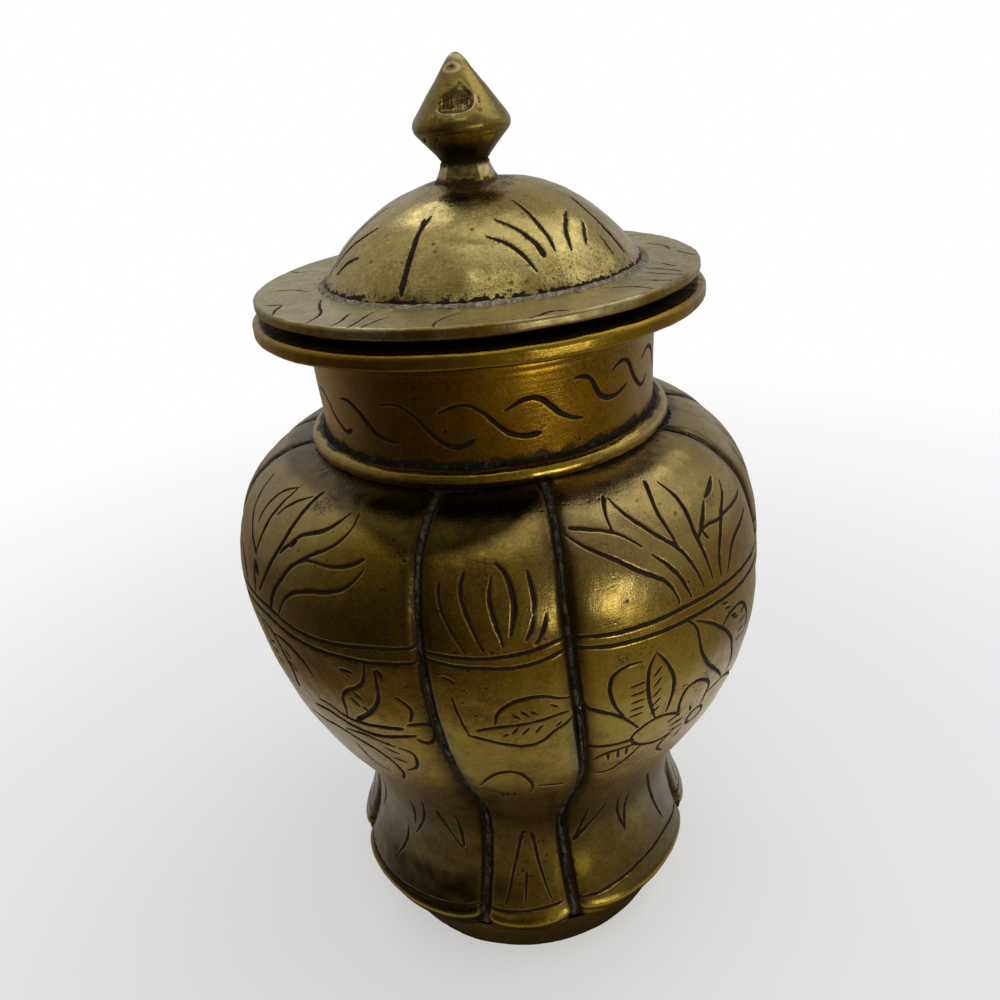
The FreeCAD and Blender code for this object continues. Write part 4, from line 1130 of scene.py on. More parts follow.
flange_strokes = (
    ("lens", 0.7, (-55, 49.3, -60, 46.8, -63, 45)), ("lens", 0.6, (-67, 48, -64.4, 46, -63.4, 45)),
    ("lens", 0.6, (-82.6, 46.8, -83, 45, -82.6, 42.8, -80, 40, -77, 38.8, -75, 37.8)),
    ("lens", 0.6, (-40, 49.6, -42, 46, -44, 43.5, -49, 41, -54, 39.3, -60, 37.2)),
    ("lens", 0.6, (-32.4, 49.6, -33, 46, -35, 42.8, -36.4, 40)),
    ("lens", 0.6, (-27.6, 49.4, -28, 46, -29, 42.8, -30, 38.6)),
    ("lens", 0.6, (-24, 49.4, -23.6, 44.8, -22, 41.5)),
    ("lens", 0.6, (-7.6, 49.6, -8, 46, -6.4, 42.8, -3, 40)),
    ("lens", 1.3, (12.6, 49.3, 15, 48.3, 18.4, 46.9, 21.8, 48.2)),
    ("lens", 0.6, (45.6, 49, 45.6, 45, 44, 42.8, 41.6, 41, 40, 39.3)),
    ("lens", 0.5, (54, 48.8, 53, 45, 52, 42.3)), ("lens", 0.6, (60, 49, 60, 45, 61, 40.8)),
    ("lens", 0.6, (63, 47.8, 65, 44.8, 66, 41.5, 67, 39)), ("lens", 0.6, (69, 45.3, 71, 43.5, 73, 42)),
    ("lens", 0.6, (82, 48.8, 86, 46.8, 89, 45.5)), ("lens", 0.5, (93, 44.5, 100, 44.4, 106, 42.5)),
    ("lens", 0.5, (32, 36.4, 33, 39)), ("lens", 0.5, (118, 48, 122, 45, 124, 41)),
    ("lens", 0.5, (140, 49, 139, 44, 136, 40)), ("lens", 0.5, (166, 48, 170, 44, 171, 40)),
    ("lens", 0.5, (196, 49, 199, 45, 198, 41)), ("lens", 0.5, (224, 48, 222, 44, 224, 40)),
    ("lens", 0.5, (250, 49, 252, 45, 250, 41)),
)


def wrap_strokes(strokes):
    """Strokes repeated a turn further on and back, so that a cut may cross where the azimuth jumps."""
    return strokes + moved(strokes, 360) + moved(strokes, -360)


right_strokes = (right_fan_strokes + right_flower_strokes + right_petal_ticks + right_foot_strokes
                 + right_band_strokes)
left_strokes = left_fan_strokes + left_branch_strokes + left_foot_strokes + left_band_strokes
side_strokes += side_band
# Panels: side, seam at its left, seam at its right, strokes and how far they are turned, narrow, seen
panels = (
    ("front", "left_front_2", "front_right_1", front_strokes, 0, True, True),
    ("front_right", "front_right_1", "front_right_2", right_strokes, 0, False, True),
    ("right", "front_right_2", "right_back_1", side_strokes, 0, True, True),
    ("right_back", "right_back_1", "right_back_2", right_strokes, 90, False, False),
    ("back", "right_back_2", "back_left_1", front_strokes, 180, True, False),
    ("back_left", "back_left_1", "back_left_2", left_strokes, 270, False, False),
    ("left", "back_left_2", "left_front_1", side_strokes, 180, True, False),
    ("left_front", "left_front_1", "left_front_2", left_strokes, 0, False, True),
)
for side, *details in panels:
    panel_piece(side + "_panel_skin", "panel_" + side, *details)
for seam in seam_lines:
    seam_piece(seam + "_seam", "seam_solder_" + seam, seam)


def shift_out(piece, amount):
    """Move every vertex along its normal and keep the mesh closed."""
    move_points(piece, mesh_points(piece) + mesh_normals(piece) * np.asarray(amount)[:, None])


def neck_piece():
    """Plain neck with its engraved wave and the turned lines under the mouth."""
    outline = dense([(neck_top_radius, neck_top), (neck_top_radius - neck_wall, neck_top),
                     (neck_foot_radius - neck_wall, neck_low), (neck_foot_radius, neck_low),
                     (neck_foot_radius, shoulder_height)], 3.0, False)
    outline += dense([(neck_foot_radius, shoulder_height), (neck_top_radius, neck_top)], 0.26, False)
    piece = turned("neck_skin", outline)
    points = mesh_points(piece)
    height = points[:, 2]
    skin = (radius_of(points) > neck_foot_radius - 0.2) & (height > shoulder_height - 0.1)
    azimuth = azimuth_of(points)
    depth, groove = stroke_cuts(azimuth, height, wrap_strokes(neck_strokes),
                                lambda place: math.radians(neck_foot_radius), 5)
    rings = 0.05 * hill(height, 162.6, 0.35) - 0.06 * hill(height, 161.9, 0.3)
    rings += 0.007 * np.sin(height * 4.1) * (height > 158)
    out = np.where(skin, -depth * 0.66 + rings, 0)
    out += np.where(skin, 0.10 * lumps(points, 26, 41) + 0.03 * lumps(points, 7, 42), 0)
    shift_out(piece, out)
    low_grime = smooth_step(146.0, 142.8, height + 0.7 * lumps(points, 5, 43)) * skin
    # darker just under the mouth flange
    under_mouth_darkening = smooth_step(164.2, 166.3, height + 0.5 * lumps(points, 6, 44)) * skin
    set_shade(piece, "groove", groove * skin)
    set_shade(piece, "dulled", 0.8 * smooth_step(26, 60, np.abs(azimuth - 8)))
    set_shade(piece, "stain_and_shade", np.where(skin, np.maximum(low_grime, 0.6 * under_mouth_darkening), 0.9))
    finish_piece(piece, "neck_brass", "jar", ["neck_tube"])


def bead_piece():
    """Half-round ring at the neck's foot."""
    outline = ([(neck_foot_radius + 0.05, bead_middle - bead_half)]
               + arc(bead_crown, bead_middle, bead_half, -90, 90, 26)
               + [(neck_foot_radius + 0.05, bead_middle + bead_half)])
    piece = turned("neck_bead_ring", outline)
    points = mesh_points(piece)
    height = points[:, 2]
    shift_out(piece, 0.10 * lumps(points, 17, 51) + 0.04 * lumps(points, 4, 52)
              + 0.02 * np.sin(height * 9))
    lift = np.degrees(np.arctan2(height - bead_middle, radius_of(points) - bead_crown))
    set_shade(piece, "stain_and_shade", smooth_step(60, 90, np.abs(lift - 2) + 9 * lumps(points, 5, 53)))
    set_shade(piece, "dulled", 0.9 * smooth_step(18, 55, np.abs(azimuth_of(points) - 4)))
    finish_piece(piece, "neck_brass", "jar", ["neck_bead"], paint="bead_brass")


def solder_ring(name, node, outline, slot, body, rough, lump, seed, shift=0.0, squash=1.0):
    """Ring of lumpy solder spun from its section."""
    piece = turned(name, outline)
    points = mesh_points(piece)
    out = rough * lumps(points, 1.6, seed) + lump * lumps(points, 5.0, seed + 1)
    out += 0.5 * rough * lumps(points, 0.8, seed + 2)
    points = points + mesh_normals(piece) * out[:, None]
    points[:, 1] *= squash
    points[:, 0] += shift
    move_points(piece, points)
    finish_piece(piece, slot, body, [node], 80)


def flange_piece(name, node, slot, body, bore, radius, low, high, round_size, strokes, seed):
    """Flat ring with worn edges; the lid's is engraved on top."""
    top = dense([(radius - round_size, high), (bore, high)], 0.4 if strokes else 1.2, False)
    outline = (arc(radius - round_size, low + round_size, round_size, -90, 0, 7)
               + dense([(radius, low + round_size), (radius, high - round_size)], 0.4, False)[1:]
               + arc(radius - round_size, high - round_size, round_size, 0, 90, 7)
               + top[1:] + dense([(bore, high), (bore, low), (radius - round_size, low)], 2.5, False))
    piece = turned(name, outline)
    points = mesh_points(piece)
    height = points[:, 2]
    r = radius_of(points)
    on_top = height > high - 0.05
    depth, groove = stroke_cuts(azimuth_of(points), r, wrap_strokes(strokes), math.radians, seed)
    out = np.where(on_top, -depth * 0.6, 0.0)
    out += 0.06 * lumps(points, 16, seed) + 0.03 * lumps(points, 4, seed + 1)
    nicks = np.clip(lumps(points, 5, seed + 2) - 1.5, 0, 1)
    out -= 0.25 * nicks * (r > radius - 1.2)
    shift_out(piece, out)
    edge = smooth_step(radius - 0.7, radius - 0.3, r + 0.1 * lumps(points, 5, seed + 3))
    edge *= height > low + 0.2
    edge *= np.clip(0.65 + 0.45 * lumps(points, 14, seed + 4), 0, 1)
    set_shade(piece, "groove", groove * on_top)
    set_shade(piece, "rubbed", edge)
    under = height < low + 0.05
    hidden = (r < radius - round_size - 0.3) & (under | (on_top & (not strokes)))
    under_edge = smooth_step(low + 0.5, low, height) * bool(strokes)
    set_shade(piece, "stain_and_shade", np.where(hidden, 1.3, np.maximum(under_edge, 0.5 * under)))
    finish_piece(piece, slot, body, [node])


def dome_piece():
    """Domed skin of the lid: part of a ball, a little swollen, with its front pulled in."""
    foot_angle = math.asin(dome_foot_radius / dome_ball)
    top_angle = math.asin((tang_radius + 0.15) / dome_ball)
    inner_ball = dome_ball - dome_wall
    inner_foot = math.acos((flange_top - dome_centre) / inner_ball)
    outside = [(dome_ball * math.sin(a), dome_centre + dome_ball * math.cos(a))
               for a in np.linspace(foot_angle, top_angle, 108)]
    inside = [(inner_ball * math.sin(a), dome_centre + inner_ball * math.cos(a))
              for a in np.linspace(math.asin((tang_radius + 0.15) / inner_ball), inner_foot, 18)]
    piece = turned("dome_skin", outside + inside)
    points = mesh_points(piece)
    r = radius_of(points)
    above = points[:, 2] - dome_centre
    skin = np.hypot(r, above) > dome_ball - 0.1
    length = (foot_angle - np.arctan2(r, above)) * dome_ball
    azimuth = azimuth_of(points)
    depth, groove = stroke_cuts(
        azimuth, length, wrap_strokes(dome_strokes),
        lambda place: math.radians(dome_ball * math.sin(foot_angle - place / dome_ball)), 9)
    serrated = 1 + 0.8 * lumps(points, 0.9, 61)
    out = np.where(skin, -depth * 0.6 * np.clip(serrated, 0.4, 1.6), 0)
    share = np.clip(length / (foot_angle * dome_ball), 0, 1)
    swell = dome_swell * np.sin(math.pi * share) ** 1.2
    hammer = 0.20 * lumps(points, 18, 62) + 0.05 * lumps(points, 6, 63)
    dent = -0.35 * spot(azimuth, -24, 13, length, 21.5, 3.2)
    crease = (-0.16 * hill(length, 14.6 - 0.09 * (azimuth + 20), 1.1) * smooth_step(-26, -18, azimuth)
              * smooth_step(12, 2, azimuth))
    move = out + swell + np.where(skin, hammer + dent + crease, 0) * smooth_step(0, 3, length)
    points = points + mesh_normals(piece) * np.where(skin, move, -np.minimum(swell, 0))[:, None]
    points[:, 1] *= 1 - (dome_front_pull / dome_foot_radius) * smooth_step(8.0, 16.0, r)
    points[:, 0] += dome_offset * smooth_step(6.0, 15.0, r)
    move_points(piece, points)
    ragged = lumps(points, 1.3, 64) * 0.35 + lumps(points, 3.6, 65) * 0.3
    foot_gap = smooth_step(1.9, 0.9, length + ragged)
    specks = smooth_step(5.0, 1.0, length + 1.2 * lumps(points, 2.0, 66)) * 0.52
    specks = np.maximum(specks, 0.36 * smooth_step(13, 6, length)
                        * smooth_step(50, 20, np.abs(azimuth - 22)))
    specks = np.maximum(specks, 0.42 * smooth_step(0.15, 0.75, groove))
    crown = smooth_step(24.0, 38.0, length + 1.5 * lumps(points, 4.0, 67)) * 0.75
    set_shade(piece, "groove", np.where(skin, np.maximum(groove, 1.3 * foot_gap), 0))
    set_shade(piece, "stain_and_shade", np.where(skin, np.maximum(specks, crown), 0.9))
    finish_piece(piece, "dome_brass", "lid", ["lid_dome"])


# The finial's section: (height above the dome's top, radius, share of the facets)
finial_profile = (
    (-1.8, 8.1, 1.0), (-0.6, 7.8, 1.0), (0.6, 7.1, 1.0), (1.8, 6.45, 1.0), (2.8, 6.0, 0.95),
    (3.35, 5.75, 0.6), (3.75, 5.45, 0.35), (4.2, 5.6, 0.30), (5.0, 6.2, 0.30), (6.2, 7.3, 0.26),
    (7.6, 8.6, 0.18), (9.0, 9.8, 0.08),
    (10.0, 10.45, 0.04), (11.0, 10.62, 0.03), (12.0, 10.35, 0.04), (13.4, 9.5, 0.08), (15.2, 8.25, 0.14),
    (17.2, 6.75, 0.16), (19.2, 5.2, 0.16), (21.2, 3.65, 0.12), (22.8, 2.45, 0.06), (23.8, 1.6, 0.0),
    (24.4, 0.95, 0.0), (24.68, 0.35, 0.0), (24.7, 0.0, 0.0),
)
stem_turn = -5.5
face_apothem = 0.85
face_swell = 0.03
corner_apothem = 0.965
tang_head_radius = 3.9
tang_head_height = 1.2
washer_rim_radius = 6.5
washer_thickness = 1.2
washer_gap = 0.1


def tang_low():
    """Underside of the tang's hammered head, inside the dome."""
    inner = dome_ball - dome_wall
    seat = dome_centre + math.sqrt(inner ** 2 - (washer_rim_radius + dome_offset) ** 2)
    return seat - washer_gap - washer_thickness - tang_head_height


# The spoon-shaped dig in the bud: (height on the bud, middle, half width), and its depth by height
dig_outline = ((13.3, -1.4, 0.8), (13.6, -1.3, 2.6), (14.2, -1.1, 3.7), (15.2, -0.9, 4.1),
               (16.4, -0.6, 3.8), (17.6, -0.2, 3.1), (18.8, 0.2, 2.2), (20.0, 0.4, 0.6))
dig_depth = 1.5
dig_depth_shares = ((13.3, 0.85), (14.0, 1.0), (15.5, 0.82), (17.6, 0.32), (20.0, 0.0))
# Scratches down the dig: places across it
dig_scratches = (-3.6, -2.9, -1.9, -1.2, -0.7, 0.1, 0.8, 1.3, 2.0, 2.5)
dig_turn = 2.0


def finial_piece():
    """Pointed bud on its faceted stem, with the dig, the cracks, the wear that it has, and painted shade
    under the bud and in its dig.
    """
    profile, _ = smooth_line(finial_profile, 0.17)
    profile[:, 1] = np.maximum(profile[:, 1], 0)
    profile[-1, 1] = 0
    low = tang_low()
    stem_low = finial_profile[0][0]
    head_top = low + tang_head_height
    tang = dense([(tang_head_radius - 0.4, low), (tang_head_radius, low + 0.4),
                  (tang_head_radius, head_top), (tang_radius, head_top),
                  (tang_radius, dome_top + stem_low)], 0.5, False)
    outline = [(0.0, low)] + tang + [(r, dome_top + h) for h, r, _ in profile]
    piece = turned("finial_bud", outline, 330, closed=False)
    points = mesh_points(piece)
    azimuth = azimuth_of(points)
    height = points[:, 2] - dome_top
    skin = height > stem_low - 0.01
    facets = np.interp(height, profile[:, 0], profile[:, 2]) * skin
    from_face = (azimuth - stem_turn + 45) % 90 - 45
    from_corner = (azimuth - stem_turn) % 90 - 45
    face = face_apothem * (1 + face_swell * (1 - (from_face / 30) ** 2)) / np.cos(np.radians(from_face))
    faced = np.minimum(face, corner_apothem / np.cos(np.radians(from_corner)))
    points[:, :2] *= (1 + facets * (faced - 1))[:, None]
    # the dig is deepest at its sharp lower lip and runs out upwards
    turn = math.radians(dig_turn)
    out = np.array([math.sin(turn), -math.cos(turn), 0.0])
    side = np.array([math.cos(turn), math.sin(turn), 0.0])
    across, front = points @ side, points @ out
    table = np.array(dig_outline)
    middle = np.interp(height, table[:, 0], table[:, 1])
    half = np.interp(height, table[:, 0], table[:, 2], 0, 0)
    inside = (half - np.abs(across - middle)) * (front > 0)
    inside = np.minimum(inside, (height - table[0, 0]) * 0.9)
    slope = table_value(dig_depth_shares, height)
    soft = (0.6 + np.where(across < middle, 2.2, 0.6) * smooth_step(13.6, 16.0, height)
            + 1.2 * smooth_step(16, 19, height))
    dig = dig_depth * slope * smooth_step(0.0, 1.0, inside / soft)
    points -= out * dig[:, None]
    move = 0.05 * lumps(points, 7, 71) + 0.012 * lumps(points, 2.4, 72)
    points += mesh_normals(piece) * (skin * move * smooth_step(24.7, 23.5, height))[:, None]
    lip = 0.9 * hill(inside, -0.12, 0.26) * smooth_step(14.6, 13.9, height) * (front > 0)
    lip = np.maximum(lip, 0.7 * hill(across - middle - half, 0.1, 0.26) * (front > 0)
                     * smooth_step(13.0, 13.8, height) * smooth_step(17.0, 15.6, height))
    scratch_line = np.zeros(len(points))
    for index, place in enumerate(dig_scratches):
        start = 13.6 + 0.5 * (index % 3)
        line = (hill(across - place, 0.12 * (height - 15), 0.09) * smooth_step(start, start + 0.4, height)
                * smooth_step(17.6, 15.6, height))
        scratch_line = np.maximum(scratch_line, line)
    lip = np.maximum(lip, 0.75 * scratch_line * smooth_step(0.1, 0.6, inside))
    collar = hill(height, 3.8, 0.38)
    crack = (hill(height - 8.9, 0.012 * (azimuth - 40), 0.16) * smooth_step(22, 30, azimuth)
             * smooth_step(95, 80, azimuth))
    flaw = (hill(azimuth + 64, 7.5 * (height - 7.5), 5.6) * smooth_step(4.2, 5.0, height)
            * smooth_step(9.8, 9.0, height))
    flaw = np.maximum(flaw, 0.9 * hill(azimuth + 38, 8 * (height - 8), 3.0)
                      * smooth_step(6.4, 7.0, height) * smooth_step(9.6, 9.0, height))
    tip_gap = np.hypot((azimuth + 16) / 15, (height - 21.9) / 0.42)
    tip_pit = np.exp(-tip_gap ** 2)
    tip_ring = 0.9 * hill(tip_gap, 1.9, 0.6)
    rim_pit = spot(azimuth, 42, 6, height, 9.9, 0.35)
    nick = (hill(azimuth - 33, 2.2 * (height - 15.6), 2.2) * smooth_step(14.4, 14.9, height)
            * smooth_step(16.6, 16.1, height))
    marks = np.maximum.reduce([1.25 * collar, 1.2 * crack, 1.3 * flaw * (1 + 0.25 * lumps(points, 1.1, 73)),
                               1.1 * tip_pit, 1.1 * rim_pit, 1.15 * nick])
    points -= mesh_normals(piece) * (0.22 * np.clip(marks - 0.6, 0, 1) * skin)[:, None]
    move_points(piece, points)
    set_shade(piece, "groove", np.where(skin, marks, 0))
    worn_stem = (0.4 * smooth_step(0.4, 1.2, height) * smooth_step(3.3, 2.7, height)
                 * (1 + 0.5 * lumps(points, 1.6, 75)))
    rubbed = np.maximum.reduce([lip, 0.7 * smooth_step(22.8, 24.2, height), worn_stem, tip_ring])
    set_shade(piece, "rubbed", np.clip(rubbed, 0, 1))
    scooped = 0.85 * smooth_step(0.2, 1.8, inside) * smooth_step(18.4, 15.8, height)
    below = smooth_step(9.6, 6.6, height) * smooth_step(3.0, 3.8, height) * 0.85
    collar_shade = 0.9 * smooth_step(1.6, 0.5, np.abs(height - 3.9))
    foot = np.maximum(smooth_step(1.0, -0.3, height + 0.3 * lumps(points, 1.5, 74)), collar_shade)
    # painted shade: under the bud's swell, and at half strength inside the dig
    set_shade(piece, "painted_shade", np.where(skin, np.maximum(below, 0.5 * scooped), 0))
    stain_and_shade = np.maximum.reduce([0.75 * scooped, 0.3 * below, foot])
    set_shade(piece, "stain_and_shade", np.where(skin, stain_and_shade, 0.9))
    finish_piece(piece, "finial_brass", "lid", ["finial"], 50)


# The base ring's section, as (radius, height): up the bore, under the foot and up the flare
base_section = ((36.7, 14.4), (36.7, 0.3), (37.0, 0.0), (39.4, 0.0), (39.9, 0.5), (41.0, 3.4),
                (42.6, 7.0), (44.2, 10.8), (45.2, 14.4))
base_skin_radius = 38.6


def base_piece():
    """Plain flared ring that the jar stands on, with painted shade under the foot's rim and near the floor.
    """
    piece = turned("base_ring_skin", dense(base_section, 0.45))
    points = mesh_points(piece)
    r = radius_of(points)
    outer = r > base_skin_radius
    out = np.where(outer, 0.10 * lumps(points, 19, 81) + 0.04 * lumps(points, 5, 82), 0)
    out -= np.where(outer, 0.05 * np.clip(lumps(points, 2.4, 83) - 0.8, 0, 2), 0)
    shift_out(piece, np.where(points[:, 2] < 0.2, np.minimum(out, 0), out))
    points = mesh_points(piece)
    points[:, 2] = np.maximum(points[:, 2], 0)
    points[:, 0] += np.where(outer, -0.9 * smooth_step(base_skin_radius, 39.6, r), 0)
    move_points(piece, points)
    # painted shade: the ring sits under the foot's rim, and its lowest band takes the shade near the floor
    low_painted_shade = 0.45 * smooth_step(3.0, 0.5, points[:, 2] + 0.8 * lumps(points, 4, 85))
    under_rim_painted_shade = 0.12 + 0.22 * lumps(points, 7, 84)
    set_shade(piece, "stain_and_shade", np.where(outer, np.maximum(under_rim_painted_shade, low_painted_shade), 0.8))
    finish_piece(piece, "base_brass", "jar", ["base_ring"])


# Sections of the solder rings, as (radius, height)
upper_solder = ((neck_foot_radius + 0.1, 142.1), (40.2, 142.3), (40.5, 142.45), (40.15, 142.62),
                (39.8, 142.8), (39.6, 143.0), (39.42, 143.3), (neck_foot_radius + 0.12, 143.5))
lower_solder = ((neck_foot_radius + 1.2, 138.35), (43.0, 137.95), (44.2, 137.70), (43.8, 138.15),
                (43.0, 138.6), (42.2, 138.9), (41.2, 138.6))
foot_solder = tuple((radius, flange_top + rise) for radius, rise in (
    (35.4, -0.02), (37.35, -0.02), (37.0, 0.25), (36.7, 0.5), (36.3, 0.65), (35.7, 0.4)))

neck_piece()
bead_piece()
solder_ring("bead_solder_above", "bead_solder_upper", dense(upper_solder, 0.3), "grey_solder", "jar",
            0.05, 0.06, 91)
solder_ring("bead_solder_below", "bead_solder_lower", dense(lower_solder, 0.3), "grey_solder", "jar",
            0.06, 0.10, 92)
flange_piece("mouth_flange_ring", "mouth_flange", "neck_brass", "jar", neck_top_radius - neck_wall,
             mouth_radius, neck_top, mouth_top, 1.1, (), 101)
flange_piece("lid_flange_ring", "lid_flange", "lid_brass", "lid", flange_bore, flange_radius, flange_under,
             flange_top, 0.8, flange_strokes, 111)
dome_piece()
solder_ring("dome_foot_solder", "dome_solder", dense(foot_solder, 0.25), "pale_solder", "lid",
            0.07, 0.08, 121, dome_offset, 1 - dome_front_pull / dome_foot_radius)
finial_piece()
base_piece()

# Pieces that keep their own mesh from the frame and only take a material
# the lid's seat ring takes the near-black brass of painted shade
kept_pieces = {"lid_seat_ring": "seat_painted_shade_brass", "lid_collar": "lid_brass", "collar_solder": "grey_solder",
               "finial_washer": "lid_brass", "base_plate": "base_brass", "base_solder": "grey_solder",
               "mouth_solder": "grey_solder"}
for node, slot in kept_pieces.items():
    kept = bpy.data.objects[node]
    kept.data.materials.clear()
    kept.data.materials.append(materials[slot])

# Camera, as the photograph was taken
camera_place = (8.33, -207.5, 215.8)
camera_turn = math.radians(2.3) - 0.0022
camera_pitch = 0.4488
camera_roll = -0.0966
scene = bpy.context.scene
lens = bpy.data.cameras.new("camera")
lens.lens = 32.4
lens.sensor_width = 36
lens.clip_start = 0.01
lens.clip_end = 50
camera = bpy.data.objects.new("camera", lens)
scene.collection.objects.link(camera)
camera.matrix_world = (Matrix.Translation(Vector(camera_place) * MM) @ Matrix.Rotation(camera_turn, 4, "Z")
                       @ Matrix.Rotation(math.radians(90) - camera_pitch, 4, "X")
                       @ Matrix.Rotation(camera_roll, 4, "Z"))
scene.camera = camera
scene.view_settings.view_transform = "Standard"


def seen_directly(tree):
    """1 for rays from the camera, from gloss and through glass, 0 for the soft light on the object."""
    path = add_node(tree, "ShaderNodeLightPath")
    both = plus(tree, path.outputs["Is Camera Ray"], path.outputs["Is Glossy Ray"])
    return plus(tree, both, path.outputs["Is Transmission Ray"], True)


# Studio: pale floor, white world, soft lamps and grey cards that only the metal's gloss sees
ambient_strength = 0.55
world = bpy.data.worlds.new("studio")
scene.world = world
world.use_nodes = True
world_tree = world.node_tree
background = world_tree.nodes["Background"]
background.inputs["Color"].default_value = (1, 1, 1, 1)
feed(world_tree, background.inputs["Strength"],
     remap(world_tree, seen_directly(world_tree), 0.0, 1.0, ambient_strength, 1.0, False))

floor_size = 14.0


def studio_disc(name, radius, height=0.0):
    """Flat round disc, lying level."""
    bpy.ops.mesh.primitive_circle_add(vertices=96, radius=radius, fill_type="NGON",
                                      location=(0, 0, height))
    disc = bpy.context.active_object
    disc.name = name
    return disc


floor = studio_disc("studio_floor", floor_size / 2)
floor_paint, tree, shader = new_paint("floor_white")
shader.inputs["Base Color"].default_value = (0.93, 0.93, 0.93, 1)
shader.inputs["Roughness"].default_value = 0.9
shader.inputs["Specular IOR Level"].default_value = 0.0
glow = add_node(tree, "ShaderNodeEmission")
feed(tree, glow.inputs["Strength"], seen_directly(tree))
far = distance(tree)
join = add_node(tree, "ShaderNodeMixShader")
feed(tree, join.inputs["Fac"], remap(tree, far, 0.08, 0.50, 0.42, 1.0))
feed(tree, join.inputs[1], shader.outputs["BSDF"])
feed(tree, join.inputs[2], glow.outputs["Emission"])
feed(tree, tree.nodes["Material Output"].inputs["Surface"], join.outputs["Shader"])
floor.data.materials.append(floor_paint)


def ramp(tree, value, stops):
    """Greys along a value, with soft passages: stops are (place, grey)."""
    made = add_node(tree, "ShaderNodeValToRGB")
    made.color_ramp.interpolation = "B_SPLINE"
    while len(made.color_ramp.elements) < len(stops):
        made.color_ramp.elements.new(0.5)
    for element, (place, grey) in zip(made.color_ramp.elements, stops):
        element.position = place
        element.color = (grey, grey, grey, 1)
    feed(tree, made.inputs["Fac"], value)
    return made.outputs["Color"]


def turn_share(tree, place):
    """Share of a turn round the object: 0 at the back, 0.25 left, 0.5 front, 0.75 right."""
    split = add_node(tree, "ShaderNodeSeparateXYZ")
    feed(tree, split.inputs[0], place)
    angle = calc(tree, "ARCTAN2", split.outputs["X"], times(tree, split.outputs["Y"], -1.0))
    return remap(tree, angle, -math.pi, math.pi, 0.0, 1.0, False), split


def paint_cards(card, name, grey_of, warm_dark):
    """Give a card its greys and let only gloss see it.

    grey_of is a function of the tree, the share of a turn and the place on the card, and warm_dark is the
    tint of the dark parts.
    """
    paint, tree, _ = new_paint(name)
    place = object_place(tree)
    share, split = turn_share(tree, place)
    glow = add_node(tree, "ShaderNodeEmission")
    grey = grey_of(tree, share, split, place)
    warmth = blend(tree, remap(tree, grey, 0.12, 0.55), (*warm_dark, 1), (1, 1, 1, 1))
    feed(tree, glow.inputs["Color"], blend(tree, 1.0, grey, warmth, "MULTIPLY"))
    feed(tree, tree.nodes["Material Output"].inputs["Surface"], glow.outputs["Emission"])
    card.data.materials.append(paint)
    card.visible_camera = False
    card.visible_diffuse = False
    card.visible_shadow = False
    card.visible_transmission = False


# Greys of the round tent of cards, by the share of a turn (0 back, 0.25 left, 0.5 front, 0.75 right): at
# the height of the jar, half way up and near the open top
tent_low_greys = ((0.0, 0.44), (0.08, 0.44), (0.15, 0.38), (0.22, 0.26), (0.30, 0.11), (0.37, 0.04),
                  (0.45, 0.045), (0.52, 0.17), (0.59, 0.28), (0.66, 0.34), (0.74, 0.42), (0.81, 0.60),
                  (0.90, 0.52), (1.0, 0.44))
tent_middle_greys = ((0.0, 0.36), (0.08, 0.54), (0.16, 0.52), (0.24, 0.36), (0.31, 0.16), (0.38, 0.08),
                     (0.46, 0.08), (0.53, 0.18), (0.59, 0.29), (0.66, 0.38), (0.74, 0.48), (0.80, 0.46),
                     (0.88, 0.36), (1.0, 0.36))
tent_high_greys = ((0.0, 0.34), (0.09, 0.55), (0.15, 0.62), (0.22, 0.62), (0.31, 0.56), (0.38, 0.46),
                   (0.47, 0.42), (0.53, 0.44), (0.59, 0.48), (0.66, 0.48), (0.74, 0.44), (0.80, 0.40),
                   (0.88, 0.36), (1.0, 0.34))
tent_radius = 1.5
tent_opening = 77.0
tent_heights = (8.0, 30.0, 46.0, 68.0)


def tent_grey(tree, share, split, place):
    climb = calc(tree, "ARCSINE", calc(tree, "DIVIDE", split.outputs["Z"], tent_radius))
    climb = times(tree, climb, 180 / math.pi)
    low = blend(tree, remap(tree, climb, *tent_heights[:2]), ramp(tree, share, tent_low_greys),
                ramp(tree, share, tent_middle_greys))
    return blend(tree, remap(tree, climb, *tent_heights[2:]), low, ramp(tree, share, tent_high_greys))


bpy.ops.mesh.primitive_uv_sphere_add(segments=96, ring_count=90, radius=tent_radius, location=(0, 0, 0))
tent = bpy.context.active_object
tent.name = "studio_tent_cards"
bpy.ops.object.mode_set(mode="EDIT")
bpy.ops.mesh.select_all(action="SELECT")
for cut_height, cut_way in ((-0.001, -1), (math.sin(math.radians(tent_opening)) * tent_radius, 1)):
    bpy.ops.mesh.bisect(plane_co=(0, 0, cut_height), plane_no=(0, 0, cut_way), clear_outer=True)
    bpy.ops.mesh.select_all(action="SELECT")
bpy.ops.object.mode_set(mode="OBJECT")
paint_cards(tent, "tent_cards", tent_grey, (1.03, 0.93, 0.64))

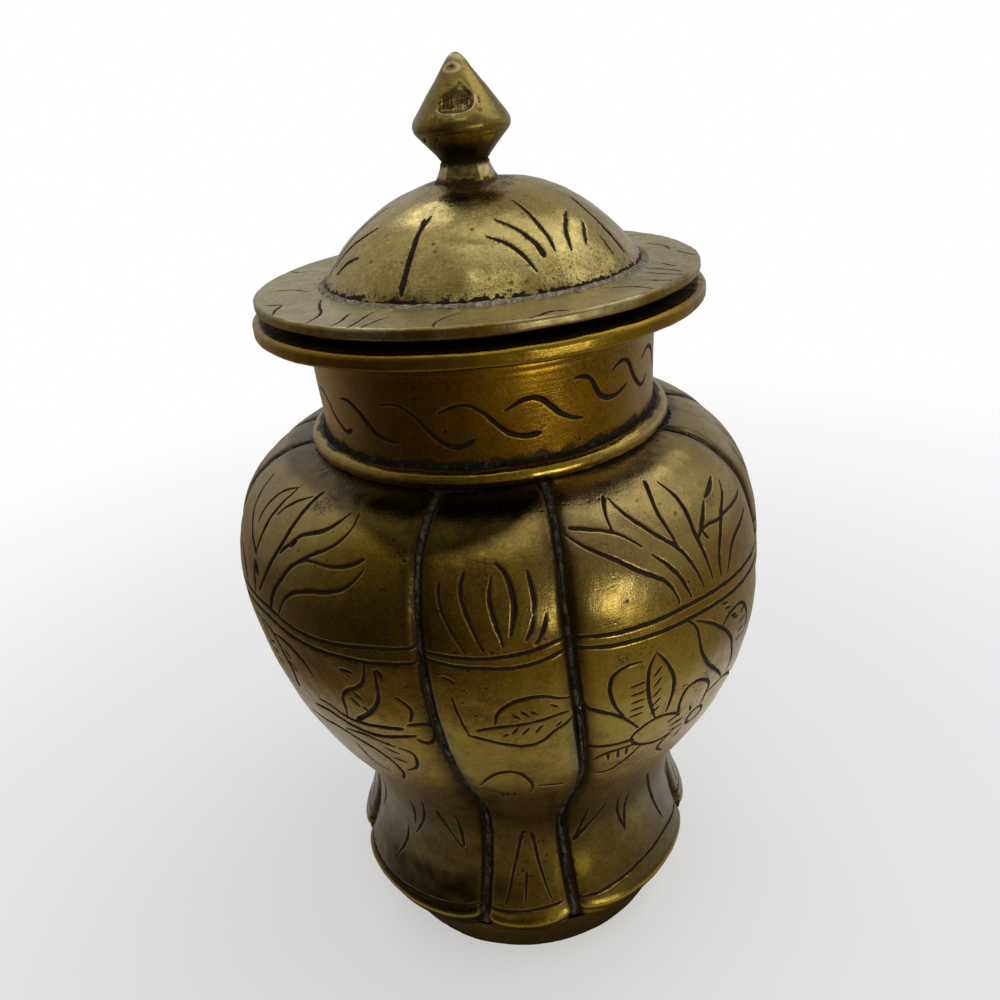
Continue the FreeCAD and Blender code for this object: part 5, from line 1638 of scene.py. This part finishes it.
# Greys of the table card under the object, from near the foot outwards
table_near_greys = ((0.0, 0.60), (0.20, 0.48), (0.32, 0.54), (0.42, 0.41), (0.52, 0.38), (0.65, 0.60),
                    (0.80, 0.80), (0.9, 0.75), (1.0, 0.60))
table_middle_greys = ((0.0, 0.42), (0.20, 0.25), (0.32, 0.15), (0.42, 0.14), (0.52, 0.26), (0.62, 0.38),
                      (0.78, 0.34), (0.9, 0.40), (1.0, 0.42))
table_far_greys = ((0.0, 0.32), (0.12, 0.30), (0.22, 0.12), (0.30, 0.04), (0.38, 0.025), (0.45, 0.05),
                   (0.52, 0.17), (0.59, 0.26), (0.66, 0.22), (0.74, 0.20), (0.84, 0.36), (1.0, 0.32))
table_bands = (0.100, 0.165, 0.26)
foot_shadow = (0.042, 0.080)


def table_grey(tree, share, split, place):
    far = distance(tree, place)
    near = blend(tree, remap(tree, far, *table_bands[:2]), ramp(tree, share, table_near_greys),
                 ramp(tree, share, table_middle_greys))
    grey = blend(tree, remap(tree, far, *table_bands[1:]), near, ramp(tree, share, table_far_greys))
    return blend(tree, remap(tree, far, *foot_shadow), (0.03, 0.03, 0.03, 1), grey)


table_card = studio_disc("studio_table_card", tent_radius * 0.99, 0.0004)
paint_cards(table_card, "table_card", table_grey, (1.08, 0.84, 0.50))


def soft_lamp(name, azimuth, elevation, distance, width, height, brightness):
    """Soft lamp that faces the object. Its brightness is what the metal shows of it, with white as 1."""
    data = bpy.data.lights.new(name, "AREA")
    data.shape = "RECTANGLE"
    data.size = width
    data.size_y = height
    data.energy = brightness * math.pi * width * height
    lamp = bpy.data.objects.new(name, data)
    scene.collection.objects.link(lamp)
    turn, climb = math.radians(azimuth), math.radians(elevation)
    way = Vector((math.sin(turn) * math.cos(climb), -math.cos(turn) * math.cos(climb), math.sin(climb)))
    lamp.matrix_world = (Matrix.Translation(way * distance + Vector((0, 0, 0.105)))
                         @ way.to_track_quat("Z", "Y").to_matrix().to_4x4())
    lamp.visible_camera = False


soft_lamp("side_window", 96, 40, 1.2, 0.62, 0.70, 0.65)
soft_lamp("low_window", 37, 0, 0.45, 0.17, 0.085, 4.5)
soft_lamp("ceiling_light", 105, 64, 1.3, 0.7, 0.7, 0.7)
soft_lamp("back_left_window", -149, 51, 1.2, 0.26, 0.26, 2.0)
soft_lamp("back_right_window", 132, 45, 1.2, 0.22, 0.26, 1.6)
soft_lamp("front_skylight", 4, 60, 1.2, 0.40, 0.16, 1.3)
